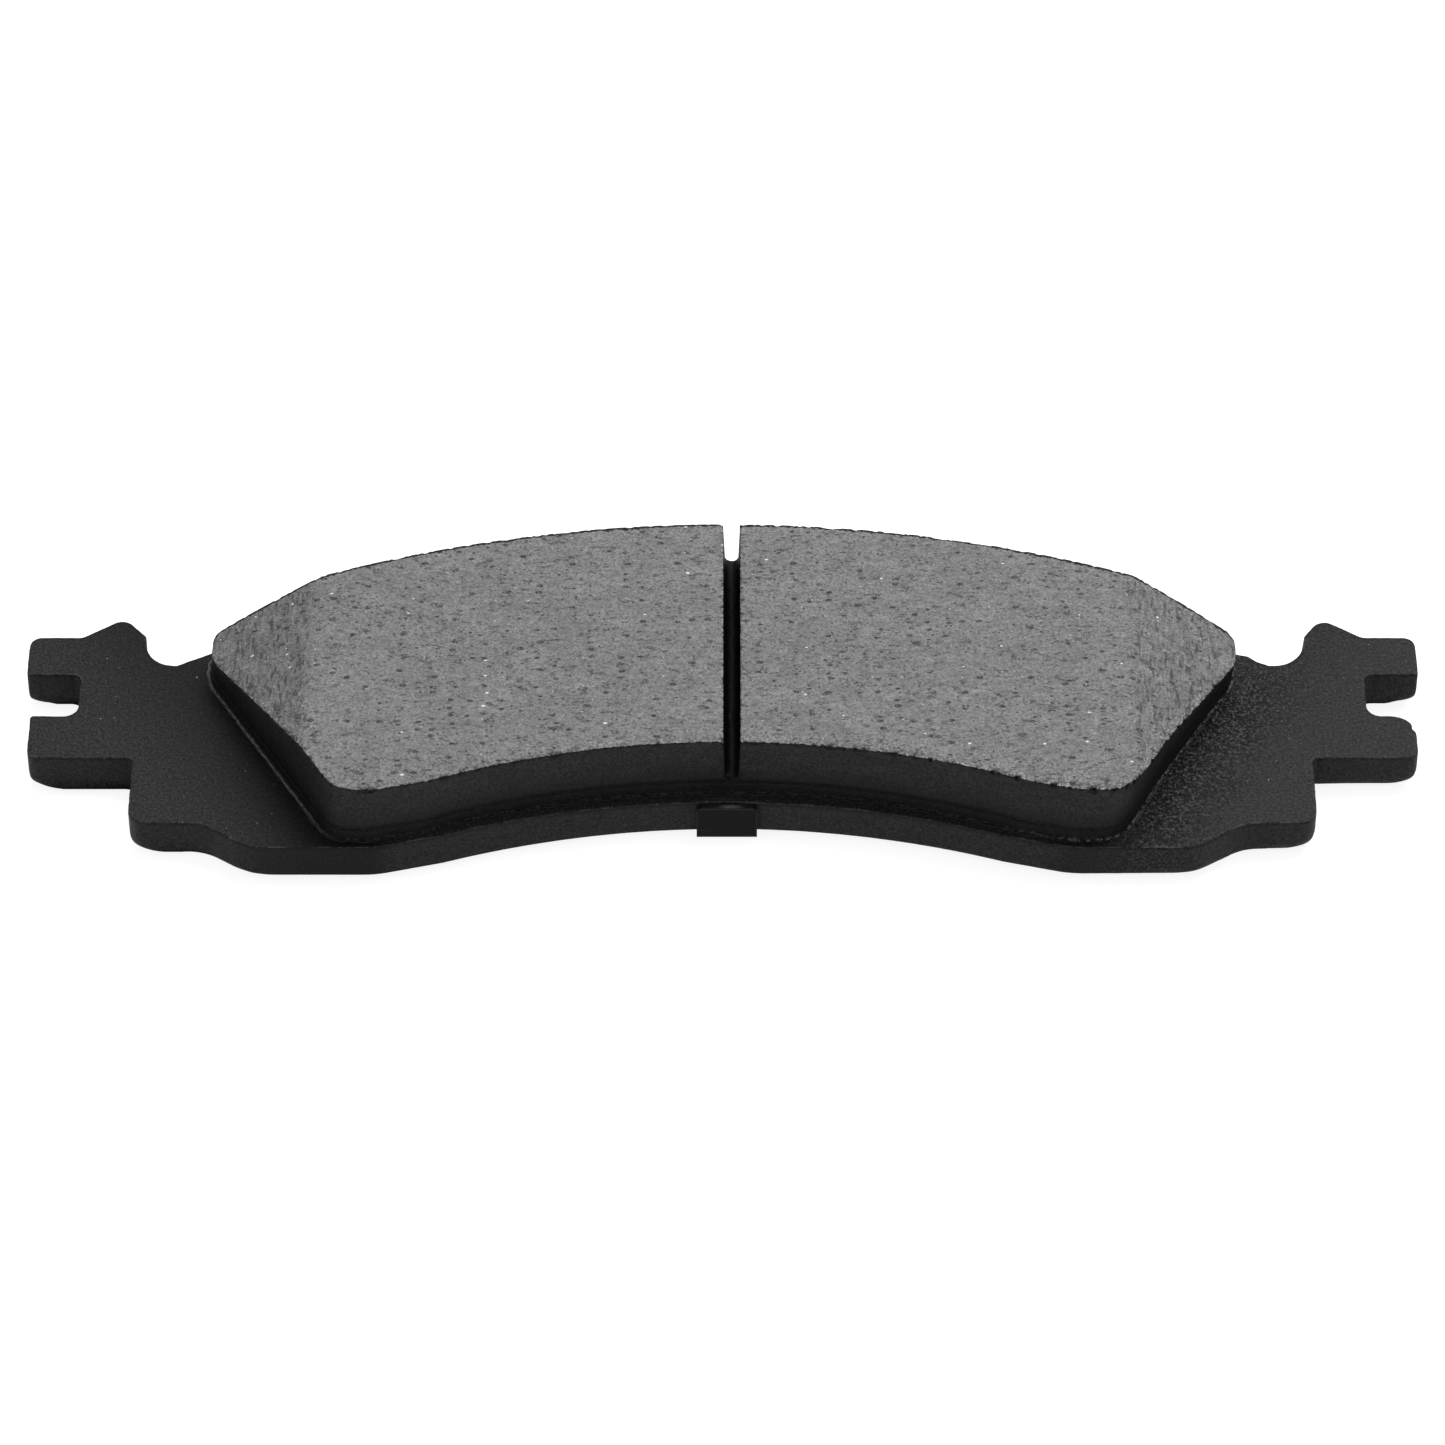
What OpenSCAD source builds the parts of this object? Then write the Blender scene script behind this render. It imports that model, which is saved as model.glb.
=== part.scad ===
// Disc brake pad for a sliding caliper: a moulded lining on a steel backing
// plate with slotted ears, and a rubber-coated shim clipped to its back.
//
// The pad lies on its shim with the lining face up.  +X runs along the pad,
// +Y points away from the disc's axis and +Z runs from the shim to the lining.
// The origin is at the bottom centre of the pad.

/* [Overall] */
// Length from ear tip to ear tip
pad_length = 196.6; // [193:0.2:201]
// Width from the lobes of the near edge to the crown of the far edge
pad_width = 55.4; // [54:0.1:57]

/* [Backing plate] */
// Thickness of the steel plate
plate_t = 5.5; // [4.5:0.1:6.5]
// Radius of the far edge about the disc's axis
plate_far_r = 162; // [158:0.5:166]
// Radius of the hollow in the near edge
plate_near_r = 120.6; // [117:0.2:124]
// Depth of the hollow in the near edge
hollow_depth = 8.7; // [8.3:0.1:9.1]
// Half the distance across the sides of the plate's feet
foot_half_l = 82.4; // [81:0.2:84]
// Height of the feet above the lobes
foot_rise = 4.75; // [4:0.25:5.5]
// Diameter of the holes that the lining keys into
key_hole_d = 10; // [7:0.5:12]

/* [Ears] */
// Gap of the slot in each ear
ear_slot_w = 8.2; // [7.5:0.1:8.8]
// Depth of the slot from the ear's tip
ear_slot_l = 7.7; // [6:0.1:9]
// Height of the slot's middle above the middle of the pad
ear_slot_y = 2.15; // [1.5:0.05:2.8]
// Width of the prong on the far side of the slot
far_prong_w = 7.35; // [6.5:0.05:8]
// Width of the prong on the near side of the slot
near_prong_w = 8.35; // [7.5:0.05:9]
// How much shorter the near prong is than the far one
near_prong_short = 1.05; // [0:0.05:2]
// Height of the hook above the far prong, before its tip is rounded
hook_h = 3.8; // [3:0.1:4.5]
// Corner radius of the +X near prong, on the side of its slot
right_prong_corner_r = 3.5; // [0.5:0.5:4]
// Corner radius of the -X near prong, on the side of its slot
left_prong_corner_r = 0.5; // [0.5:0.5:4]

/* [Lining] */
// Height of the lining face above the plate
lining_t = 10; // [8:0.5:12]
// Thickness of the underlayer between the plate and the friction block
underlayer_t = 2; // [1:0.25:2.5]
// Width of the rim of lining face inside the plate's far edge
lining_inset = 1; // [0.5:0.25:2]
// Radius of the lining's near edge about the disc's axis
lining_near_r = 117.2; // [116.6:0.1:117.8]
// Half the length of the lining
lining_half_l = 72.1; // [71.5:0.1:72.5]
// Lean of the lining's ends from the pad's short axis
end_lean = 30.5; // [29:0.5:32]
// Place of the lining along the plate
lining_x = 0.3; // [-0.5:0.1:0.5]
// Width of the moulding flash round the lining's foot
flash_w = 0.4; // [0.2:0.1:0.6]
// Height of that flash
flash_h = 0.4; // [0.2:0.1:0.6]

/* [Chamfers and groove] */
// Distance from the middle of the pad to the edge of the -X chamfer
chamfer_left_x = 57.5; // [54:0.5:62]
// Slant of that edge: its near end lies further out
chamfer_left_slant = 3; // [0:1:6]
// Distance from the middle of the pad to the edge of the +X chamfer
chamfer_right_x = 57.2; // [54:0.2:62]
// Slant of that edge: its near end lies further in
chamfer_right_slant = 3; // [0:1:6]
// Slope of both chamfers
chamfer_angle = 20.5; // [14:0.5:24]
// Width of the groove at the lining face
groove_w = 2.4; // [2:0.1:3]
// Width of the groove near its floor
groove_floor_w = 1.9; // [1.4:0.1:2]
// Depth of the groove
groove_depth = 7.2; // [5:0.1:7.4]
// Place of the groove along the pad
groove_x = 1.3; // [-3:0.1:3]

/* [Shim] */
// Thickness of the shim's steel core
shim_steel_t = 0.6; // [0.4:0.05:0.8]
// Thickness of the rubber coat on each side of the core
shim_rubber_t = 0.15; // [0.1:0.01:0.2]
// Thickness of the adhesive between the shim and the plate
adhesive_t = 0.1; // [0.05:0.01:0.15]
// How far the shim stays inside the plate's edges
shim_inset = 1.5; // [1:0.25:2.5]
// Width of the clip tabs
tab_w = 8.4; // [6:0.2:11]
// Place of the near tab along the pad
near_tab_x = 0.6; // [-2:0.1:2]
// Angle of the two far tabs about the disc's axis
far_tab_angle = 13; // [8:1:18]
// Gap between the tabs and the plate's edges
tab_gap = 0.15; // [0.15:0.05:0.4]

/* [Hidden] */

$fn = 96;
arc_step = 9;     // largest turn between two points of a rounded corner, in degrees
through = 1;      // how far a cutter runs past the face it cuts
lap = 0.5;        // how far two shapes that join in one solid overlap

// Levels of the layers, counted up from the shim's outer face
shim_steel_z = shim_rubber_t;
shim_inner_z = shim_steel_z + shim_steel_t;
adhesive_z = shim_inner_z + shim_rubber_t;
plate_z = adhesive_z + adhesive_t;
plate_top_z = plate_z + plate_t;
film_t = 0.1;
underlayer_z = plate_top_z + film_t;
friction_z = underlayer_z + underlayer_t;
face_z = plate_top_z + lining_t;

// Places across the pad
tip_x = pad_length / 2;
lobe_y = -pad_width / 2;
disc_axis_y = pad_width / 2 - plate_far_r;
hollow_axis_y = lobe_y + hollow_depth - plate_near_r;
lining_far_r = plate_far_r - lining_inset;

// Height on the pad of an arc about the disc's axis, at a distance x from the middle
function on_arc(r, x) = disc_axis_y + sqrt(r * r - x * x);

// ---- Outlines ----

function unit(v) = v / norm(v);
function turned(v, a) = [v.x * cos(a) - v.y * sin(a), v.x * sin(a) + v.y * cos(a)];
function flat(c) = [c.x, c.y];

// The arc of radius r that rounds corner b of the path a, b, c
function corner_arc(a, b, c, r) =
    let (
        u = unit(a - b),
        v = unit(c - b),
        half = acos(u * v) / 2,
        centre = b + unit(u + v) * r / sin(half),
        start = b + u * r / tan(half) - centre,
        turn = -sign(cross(u, v)) * (180 - 2 * half),
        steps = max(1, ceil(abs(turn) / arc_step))
    )
    r == 0 ? [b] : [for (i = [0 : steps]) centre + turned(start, turn * i / steps)];

// A closed outline through corners [x, y, radius], with each corner rounded
function rounded(corners) =
    let (n = len(corners))
    [
        for (i = [0 : n - 1])
            each corner_arc(
                flat(corners[(i + n - 1) % n]), flat(corners[i]), flat(corners[(i + 1) % n]),
                corners[i][2]
            )
    ];

// The same corners with every edge moved outwards by d, for a counter-clockwise outline
function grown(corners, d) =
    let (n = len(corners))
    [
        for (i = [0 : n - 1])
            let (
                before = unit(flat(corners[i]) - flat(corners[(i + n - 1) % n])),
                after = unit(flat(corners[(i + 1) % n]) - flat(corners[i])),
                out_1 = [before.y, -before.x],
                out_2 = [after.y, -after.x],
                here = flat(corners[i]) + (out_1 + out_2) * d / (1 + out_1 * out_2)
            )
            [here.x, here.y, corners[i][2]]
    ];

// A closed outline from the corners of its +X half, listed from the near side to the far side,
// and of its -X half, listed the same way and mirrored
function joined(right, left) =
    concat(right, [for (i = [len(left) - 1 : -1 : 0]) [-left[i].x, left[i].y, left[i][2]]]);

// Corners of half of the backing plate, up to its far arc.
// slot_corner_r rounds the near prong where its slot opens.
slot_near_y = ear_slot_y - ear_slot_w / 2;
slot_far_y = ear_slot_y + ear_slot_w / 2;
slot_end_x = tip_x - ear_slot_l;
near_tip_x = tip_x - near_prong_short;
near_prong_y = slot_near_y - near_prong_w;
far_prong_y = slot_far_y + far_prong_w;
notch_x = 77.2;                               // where the far arc runs into the notch
notch_y = on_arc(plate_far_r, notch_x);
function plate_half(slot_corner_r) = [
    [36, lobe_y + 3, 0],
    [48, lobe_y, 15],
    [65.4, lobe_y, 5],
    [72.3, lobe_y + foot_rise, 5],
    [foot_half_l, lobe_y + foot_rise, 2.5],
    [foot_half_l, near_prong_y, 0.8],
    [near_tip_x, near_prong_y, 1.5],
    [near_tip_x, slot_near_y, slot_corner_r],
    [slot_end_x, slot_near_y, 1.2],
    [slot_end_x, slot_far_y, 1.2],
    [tip_x, slot_far_y, 0.5],
    [tip_x, far_prong_y, 1.8],
    [90.8, far_prong_y, 3],
    [84.85, far_prong_y + hook_h, 1.3],
    [82.2, far_prong_y + 0.1, 1],
    [81.95, notch_y, 3.8],
    [notch_x - 10, notch_y, 0],
];

// Corners of the +X half of the lining, inside its two arcs
lining_near_y = lobe_y + 1.4;
end_low_x = 54.1;
end_high_y = lining_near_y + (lining_half_l - end_low_x) / tan(end_lean);
function lining_half() = [
    [38, lining_near_y + 2.4, 0],
    [48.5, lining_near_y, 6],
    [end_low_x, lining_near_y, 4.5],
    [lining_half_l, end_high_y, 7],
    [lining_half_l, end_high_y + 5, 3],
    [60, on_arc(lining_far_r, 60) + 0.1, 0],
    [50, pad_width / 2 + through, 0],
];

// Corners of the +X half of the shim, inside its two arcs
shim_near_y = lobe_y + shim_inset + 0.5;
shim_half_l = 69;
function shim_half() = [
    [36, shim_near_y + 3, 0],
    [47, shim_near_y, 10],
    [61, shim_near_y, 7],
    [shim_half_l, shim_near_y + 10, 6],
    [shim_half_l, on_arc(plate_far_r, shim_half_l) - shim_inset - 2, 4],
    [58, on_arc(plate_far_r, 58), 0],
    [50, pad_width / 2 + through, 0],
];

module about_disc_axis() {
    translate([0, disc_axis_y]) children();
}

module plate_outline() {
    difference() {
        union() {
            polygon(rounded(joined(
                plate_half(right_prong_corner_r), plate_half(left_prong_corner_r)
            )));
            intersection() {
                about_disc_axis() circle(r = plate_far_r);
                translate([-notch_x - through, 0])
                    square([2 * (notch_x + through), pad_width]);
            }
        }
        translate([0, hollow_axis_y]) circle(r = plate_near_r);
    }
}

// Outline of the lining, moved outwards by grow
module lining_outline(grow = 0) {
    translate([lining_x, 0])
        difference() {
            intersection() {
                polygon(rounded(grown(joined(lining_half(), lining_half()), grow)));
                about_disc_axis() circle(r = lining_far_r + grow);
            }
            about_disc_axis() circle(r = lining_near_r - grow);
        }
}

// Outline of the shim's flat body, moved inwards by shrink
module shim_outline(shrink = 0) {
    difference() {
        intersection() {
            polygon(rounded(grown(joined(shim_half(), shim_half()), -shrink)));
            about_disc_axis() circle(r = plate_far_r - shim_inset - shrink);
        }
        translate([0, hollow_axis_y]) circle(r = plate_near_r + shim_inset + shrink);
    }
}

// ---- Key holes ----

key_hole_circle_r = 139;
key_hole_angles = [-20, -7.5, 7.5, 20];

// Upright cylinders that stand in the key holes of the plate
module key_cylinders(z, h) {
    for (a = key_hole_angles)
        translate([0, disc_axis_y, z])
            rotate([0, 0, a])
                translate([0, key_hole_circle_r, 0])
                    cylinder(d = key_hole_d, h = h);
}

// ---- Shim layers ----

tab_bend_r = 1.2;                                  // outside radius of the bend
tab_top_z = plate_top_z - 0.2;
tab_corner_r = 0.8;
shim_t = 2 * shim_rubber_t + shim_steel_t;
tab_stand = tab_gap + shim_t;                      // outer face of a tab beyond the plate's edge
tab_root_l = tab_stand + shim_inset + 1;           // length of a tab's flat root

// Section of a tab's layer that lies from depth a to depth b below the shim's outer face.
// The outer face of the upright is at 0, and the root runs towards +X of the section.
module tab_section(a, b) {
    translate([tab_bend_r, a]) square([tab_root_l - tab_bend_r, b - a]);
    translate([a, tab_bend_r]) square([b - a, tab_top_z - tab_bend_r]);
    intersection() {
        translate([tab_bend_r, tab_bend_r])
            difference() {
                circle(r = tab_bend_r - a);
                circle(r = tab_bend_r - b);
            }
        square([tab_bend_r, tab_bend_r]);
    }
}

// One layer of a tab, upright at the origin with its root towards +Y
module tab_layer(a, b) {
    intersection() {
        translate([-tab_w / 2, 0, 0])
            rotate([90, 0, 90])
                linear_extrude(tab_w) tab_section(a, b);
        rotate([90, 0, 0])
            translate([0, 0, -tab_root_l - through])
                linear_extrude(tab_root_l + 2 * through)
                    polygon(rounded([
                        [-tab_w / 2, -through, 0],
                        [tab_w / 2, -through, 0],
                        [tab_w / 2, tab_top_z, tab_corner_r],
                        [-tab_w / 2, tab_top_z, tab_corner_r],
                    ]));
    }
}

// One layer of the whole shim, from depth a to depth b below its outer face
module shim_layer(a, b) {
    union() {
        translate([0, 0, a]) linear_extrude(b - a) shim_outline();
        translate([near_tab_x, hollow_axis_y + plate_near_r - tab_stand, 0]) tab_layer(a, b);
        for (side = [-1, 1])
            translate([0, disc_axis_y, 0])
                rotate([0, 0, side * far_tab_angle])
                    translate([0, plate_far_r + tab_stand, 0])
                        rotate([0, 0, 180]) tab_layer(a, b);
    }
}

// ---- Parts ----

// The wedge that a chamfer takes off the lining face: it starts at the origin,
// along the Y axis, and deepens towards +X
module end_wedge() {
    wedge_l = 30;
    rotate([90, 0, 0])
        translate([0, 0, -pad_width])
            linear_extrude(2 * pad_width)
                polygon([
                    [-through / tan(chamfer_angle), through],
                    [wedge_l, -wedge_l * tan(chamfer_angle)],
                    [wedge_l, through],
                ]);
}

// Section of the groove: it tapers slightly to a round floor
module groove_section() {
    floor_r = groove_floor_w / 2;
    polygon([
        [-groove_w / 2, through],
        [-groove_w / 2, 0],
        [-floor_r, floor_r - groove_depth],
        [floor_r, floor_r - groove_depth],
        [groove_w / 2, 0],
        [groove_w / 2, through],
    ]);
    translate([0, floor_r - groove_depth]) circle(r = floor_r);
}

// Friction material that rubs on the disc
module friction_block() {
    color([0.50, 0.50, 0.51])
        difference() {
            translate([0, 0, friction_z])
                linear_extrude(face_z - friction_z) lining_outline();
            translate([groove_x, 0, face_z])
                rotate([90, 0, 0])
                    translate([0, 0, -pad_width])
                        linear_extrude(2 * pad_width) groove_section();
            translate([chamfer_right_x, 0, face_z])
                rotate([0, 0, -chamfer_right_slant]) end_wedge();
            translate([-chamfer_left_x, 0, face_z])
                rotate([0, 0, 180 - chamfer_left_slant]) end_wedge();
        }
}

// Softer moulded layer under the friction material, keyed into the plate's holes
module underlayer() {
    color([0.13, 0.13, 0.14])
        union() {
            translate([0, 0, underlayer_z]) linear_extrude(underlayer_t) lining_outline();
            translate([0, 0, underlayer_z]) linear_extrude(flash_h) lining_outline(flash_w);
            key_cylinders(plate_z, underlayer_z - plate_z + lap);
        }
}

// Cured adhesive between the plate and the underlayer
module bond_film() {
    color([0.35, 0.22, 0.10])
        difference() {
            translate([0, 0, plate_top_z]) linear_extrude(film_t) lining_outline(flash_w);
            key_cylinders(plate_top_z - through, film_t + 2 * through);
        }
}

// Stamped steel plate with slotted ears
module backing_plate() {
    color([0.16, 0.16, 0.17])
        difference() {
            translate([0, 0, plate_z]) linear_extrude(plate_t) plate_outline();
            key_cylinders(plate_z - through, plate_t + 2 * through);
        }
}

// Pressure-sensitive adhesive that holds the shim to the plate
module shim_adhesive() {
    adhesive_margin = 1;
    color([0.75, 0.70, 0.55])
        translate([0, 0, adhesive_z]) linear_extrude(adhesive_t) shim_outline(adhesive_margin);
}

// Rubber coat on the plate side of the shim
module shim_inner_rubber() {
    color([0.10, 0.10, 0.10]) shim_layer(shim_inner_z, adhesive_z);
}

// Spring steel core of the shim, with its clip tabs
module shim_steel_core() {
    color([0.45, 0.46, 0.48]) shim_layer(shim_steel_z, shim_inner_z);
}

// Rubber coat on the caliper side of the shim
module shim_outer_rubber() {
    color([0.12, 0.12, 0.13]) shim_layer(0, shim_steel_z);
}

friction_block();
underlayer();
bond_film();
backing_plate();
shim_adhesive();
shim_inner_rubber();
shim_steel_core();
shim_outer_rubber();
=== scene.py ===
"""Looks of a disc brake pad: its pieces, materials and studio stage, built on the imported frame.

Shapes are worked out in millimetres in the frame's axes (+X along the pad, +Y away from the
disc's axis, +Z from the shim to the friction face) and put into meshes in metres.
"""
import math

import bpy
import numpy as np
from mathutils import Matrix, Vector
from mathutils.geometry import tessellate_polygon


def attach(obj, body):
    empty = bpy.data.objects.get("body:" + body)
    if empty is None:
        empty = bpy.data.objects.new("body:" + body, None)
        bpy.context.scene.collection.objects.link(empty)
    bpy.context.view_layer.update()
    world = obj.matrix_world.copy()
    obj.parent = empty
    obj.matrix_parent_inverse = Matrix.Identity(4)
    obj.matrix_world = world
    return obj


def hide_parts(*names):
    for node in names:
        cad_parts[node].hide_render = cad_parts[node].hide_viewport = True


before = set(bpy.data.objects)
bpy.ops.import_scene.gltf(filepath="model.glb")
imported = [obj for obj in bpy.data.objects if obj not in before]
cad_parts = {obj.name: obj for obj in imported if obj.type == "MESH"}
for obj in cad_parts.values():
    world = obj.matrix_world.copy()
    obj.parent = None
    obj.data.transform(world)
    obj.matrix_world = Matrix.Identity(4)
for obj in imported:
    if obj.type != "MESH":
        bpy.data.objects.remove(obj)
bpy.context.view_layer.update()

bl_info = {
    "name": "Disc brake pad",
    "version": (1, 0, 0),
    "blender": (4, 5, 0),
    "location": "View3D > Sidebar > Brake pad",
    "description": "Builds the friction block, backing plate, shim and studio stage of a disc brake pad",
    "category": "Object",
}

MM = 0.001
BODY = "root"

# ---- Layout of the pad, in millimetres ----

PAD_WIDTH = 55.4
PLATE_Z = 1.0
PLATE_TOP_Z = 6.5
FILM_TOP_Z = 6.6
UNDERLAYER_TOP_Z = 8.6
FACE_Z = 16.5
PLATE_FAR_R = 162.0
PLATE_NEAR_R = 120.6
LOBE_Y = -PAD_WIDTH / 2
DISC_Y = PAD_WIDTH / 2 - PLATE_FAR_R       # the disc's axis
HOLLOW_Y = LOBE_Y + 8.7 - PLATE_NEAR_R     # axis of the hollow in the plate's near edge
LINING_FAR_R = 161.0
LINING_NEAR_R = 117.2
LINING_X = 0.3
LINING_HALF_L = 72.1
GROOVE_X = 1.3
GROOVE_W = 2.4
GROOVE_FLOOR_R = 0.95
GROOVE_DEPTH = 7.2
KEY_HOLE_R = 5.0
KEY_CIRCLE_R = 139.0
KEY_ANGLES = np.radians([-20.0, -7.5, 7.5, 20.0])
TAB_X, TAB_W, TAB_TOP_Z = 0.6, 8.4, 6.3   # the shim's near tab
NOTCH_CROSS_X = 77.2                       # where the notch's floor meets the far arc
NOTCH_Y = DISC_Y + math.sqrt(PLATE_FAR_R ** 2 - NOTCH_CROSS_X ** 2)   # floor of that notch
END_LEAN = math.radians(30.5)              # slant of the lining's ends
END_LOW_X, END_LOW_DEPTH = 54.1, 26.3      # their near corner: distance along the pad, and towards -Y
END_REACH = (END_LOW_X * math.cos(END_LEAN) + END_LOW_DEPTH * math.sin(END_LEAN)) * MM


# ---- Curves and surfaces ----

def unit(v):
    """Rows of v divided by their lengths."""
    return v / np.linalg.norm(v, axis=-1, keepdims=True)


def on_arc(axis_y, r, x):
    """Height at x of a circle of radius r about (0, axis_y): axis_y + sqrt(r^2 - x^2)."""
    return axis_y + np.sqrt(r * r - np.square(x))


def rounded(corners, closed=True, steps=16):
    """Points of a path through corners (x, y, radius), each corner b swapped for an arc.

    With u and v the unit vectors from b to its neighbours and h half the angle between them,
    the arc's centre is b + unit(u + v) r / sin h; it starts at b + u r / tan h and turns by
    pi - 2h towards the next edge.
    """
    corners = np.asarray(corners, float)
    here, r = corners[:, :2], corners[:, 2:]
    ends = here[[0, -1]]
    if not closed:
        here, r = here[1:-1], r[1:-1]
        before, after = corners[:-2, :2], corners[2:, :2]
    else:
        before, after = np.roll(here, 1, 0), np.roll(here, -1, 0)
    u, v = unit(before - here), unit(after - here)
    h = np.arccos(np.clip((u * v).sum(1, keepdims=True), -1, 1)) / 2
    centre = here + unit(u + v) * r / np.sin(h)
    start = here + u * r / np.tan(h) - centre
    turn = -np.sign(u[:, :1] * v[:, 1:] - u[:, 1:] * v[:, :1]) * (np.pi - 2 * h)
    a = turn * np.linspace(0, 1, steps + 1)
    arc_x = centre[:, :1] + start[:, :1] * np.cos(a) - start[:, 1:] * np.sin(a)
    arc_y = centre[:, 1:] + start[:, :1] * np.sin(a) + start[:, 1:] * np.cos(a)
    points = np.stack([arc_x.ravel(), arc_y.ravel()], 1)
    return points if closed else np.concatenate([ends[:1], points, ends[1:]])


def lengths_along(path):
    """Distance along a path to each of its points."""
    return np.concatenate([[0.0], np.cumsum(np.linalg.norm(np.diff(path, axis=0), axis=1))])


def at_length(path, length):
    """Points of a path at the given distances along it."""
    run = lengths_along(path)
    return np.stack([np.interp(length, run, path[:, 0]), np.interp(length, run, path[:, 1])], -1)


def evenly(loop, spacing):
    """A closed loop sampled at even distances of about the spacing."""
    path = np.concatenate([loop, loop[:1]])
    total = lengths_along(path)[-1]
    count = int(round(total / spacing))
    return at_length(path, np.arange(count) * total / count)


def window(values, reach, how):
    """Running minimum or mean round a closed loop, over `reach` stations to each side."""
    wide = np.concatenate([values[-reach:], values, values[:reach]])
    return how(np.lib.stride_tricks.sliding_window_view(wide, 2 * reach + 1), axis=1)


def outward(loop):
    """Outward unit normals of a counter-clockwise loop: its tangent turned by -90 degrees."""
    tangent = unit(np.roll(loop, -1, 0) - np.roll(loop, 1, 0))
    return np.stack([tangent[:, 1], -tangent[:, 0]], 1)


def bend_radius(loop):
    """Radius of the bend at each station of a loop: large where straight, negative where hollow."""
    edge = np.roll(loop, -1, 0) - loop
    step = np.linalg.norm(edge, axis=1)
    before = np.roll(edge, 1, 0)
    turn = np.arctan2(before[:, 0] * edge[:, 1] - before[:, 1] * edge[:, 0], (before * edge).sum(1))
    turn = window(turn, 1, np.mean)
    return step / np.where(np.abs(turn) < 1e-5, 1e-5, turn)


def grain(x, y, z, size, seed):
    """Smooth random values from -1 to 1 that change over about `size` mm.

    Random numbers on a cubic lattice of that spacing, blended between its points with the
    weight 3t^2 - 2t^3.
    """
    table = np.random.default_rng(seed).uniform(-1, 1, 4096)
    place = np.stack(np.broadcast_arrays(x, y, z), -1) / size
    cell = np.floor(place)
    part = place - cell
    weight = part * part * (3 - 2 * part)
    side = np.array([[i, j, k] for i in (0, 1) for j in (0, 1) for k in (0, 1)])
    corner = cell[..., None, :].astype(np.int64) + side
    mixed = corner[..., 0] * 73856093 ^ corner[..., 1] * 19349663 ^ corner[..., 2] * 83492791
    share = np.where(side == 1, weight[..., None, :], 1 - weight[..., None, :]).prod(-1)
    return (table[mixed & 4095] * share).sum(-1)


def ring_quads(rows, columns, first=0):
    """Quads between rows of a closed ring of stations; they face out where rows rise."""
    i = np.arange(rows - 1)[:, None] * columns
    j = np.arange(columns)[None, :]
    k = (j + 1) % columns
    return first + np.stack([i + j, i + k, i + columns + k, i + columns + j], -1).reshape(-1, 4)


def sheet_quads(rows, columns):
    """Quads of an open grid whose rows run towards +Y and whose columns run towards +X."""
    i = np.arange(rows - 1)[:, None] * columns
    j = np.arange(columns - 1)[None, :]
    return np.stack([i + j, i + j + 1, i + columns + j + 1, i + columns + j], -1).reshape(-1, 4)


def fill(loops, upward=True):
    """Triangles of the flat face inside the first loop and outside the rest, by joined index."""
    flat = [np.concatenate([loop[:, :2], np.zeros((len(loop), 1))], 1).tolist() for loop in loops]
    triangles = np.array(tessellate_polygon(flat))
    points = np.concatenate([loop[:, :2] for loop in loops])
    a, b, c = (points[triangles[:, i]] for i in range(3))
    area = (b[:, 0] - a[:, 0]) * (c[:, 1] - a[:, 1]) - (b[:, 1] - a[:, 1]) * (c[:, 0] - a[:, 0])
    wrong = (area > 0) != upward
    triangles[wrong] = triangles[wrong][:, ::-1]
    return triangles


def carried(loop, offset, height):
    """A profile carried along a loop: row i lies `offset[i]` outside it at `height[i]`."""
    normal = outward(loop)
    offset, height = np.broadcast_arrays(offset, height)
    xy = loop[None] + normal[None] * offset[..., None]
    return np.concatenate([xy, height[..., None]], -1)


def make_mesh(name, points, quads, triangles, flat_from=None, **attributes):
    """A mesh object from points in mm; faces from index flat_from on are shaded flat."""
    mesh = bpy.data.meshes.new(name)
    corners = np.concatenate([quads.ravel(), triangles.ravel()]).astype(np.int32)
    sizes = np.concatenate([np.full(len(quads), 4), np.full(len(triangles), 3)])
    starts = (np.cumsum(sizes) - sizes).astype(np.int32)
    mesh.vertices.add(len(points))
    mesh.vertices.foreach_set("co", (points * MM).astype(np.float32).ravel())
    mesh.loops.add(len(corners))
    mesh.loops.foreach_set("vertex_index", corners)
    mesh.polygons.add(len(sizes))
    mesh.polygons.foreach_set("loop_start", starts)
    smooth = np.ones(len(sizes), bool)
    smooth[len(quads) if flat_from is None else flat_from:] = False
    mesh.polygons.foreach_set("use_smooth", smooth)
    for key, values in attributes.items():
        layer = mesh.attributes.new(key, "FLOAT", "POINT")
        layer.data.foreach_set("value", values.astype(np.float32).ravel())
    mesh.update(calc_edges=True)
    mesh.validate()
    piece = bpy.data.objects.new(name, mesh)
    bpy.context.scene.collection.objects.link(piece)
    return piece


# ---- Outlines ----

def meet(p, q, axis_y, r):
    """Where the line through p and q crosses the circle of radius r about (0, axis_y), nearest q."""
    along = (q - p) / np.linalg.norm(q - p)
    foot = p - [0, axis_y]
    half = along @ foot
    root = math.sqrt(half * half - foot @ foot + r * r)
    return min((p + along * (-half + k * root) for k in (-1, 1)), key=lambda v: np.linalg.norm(v - q))


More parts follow.
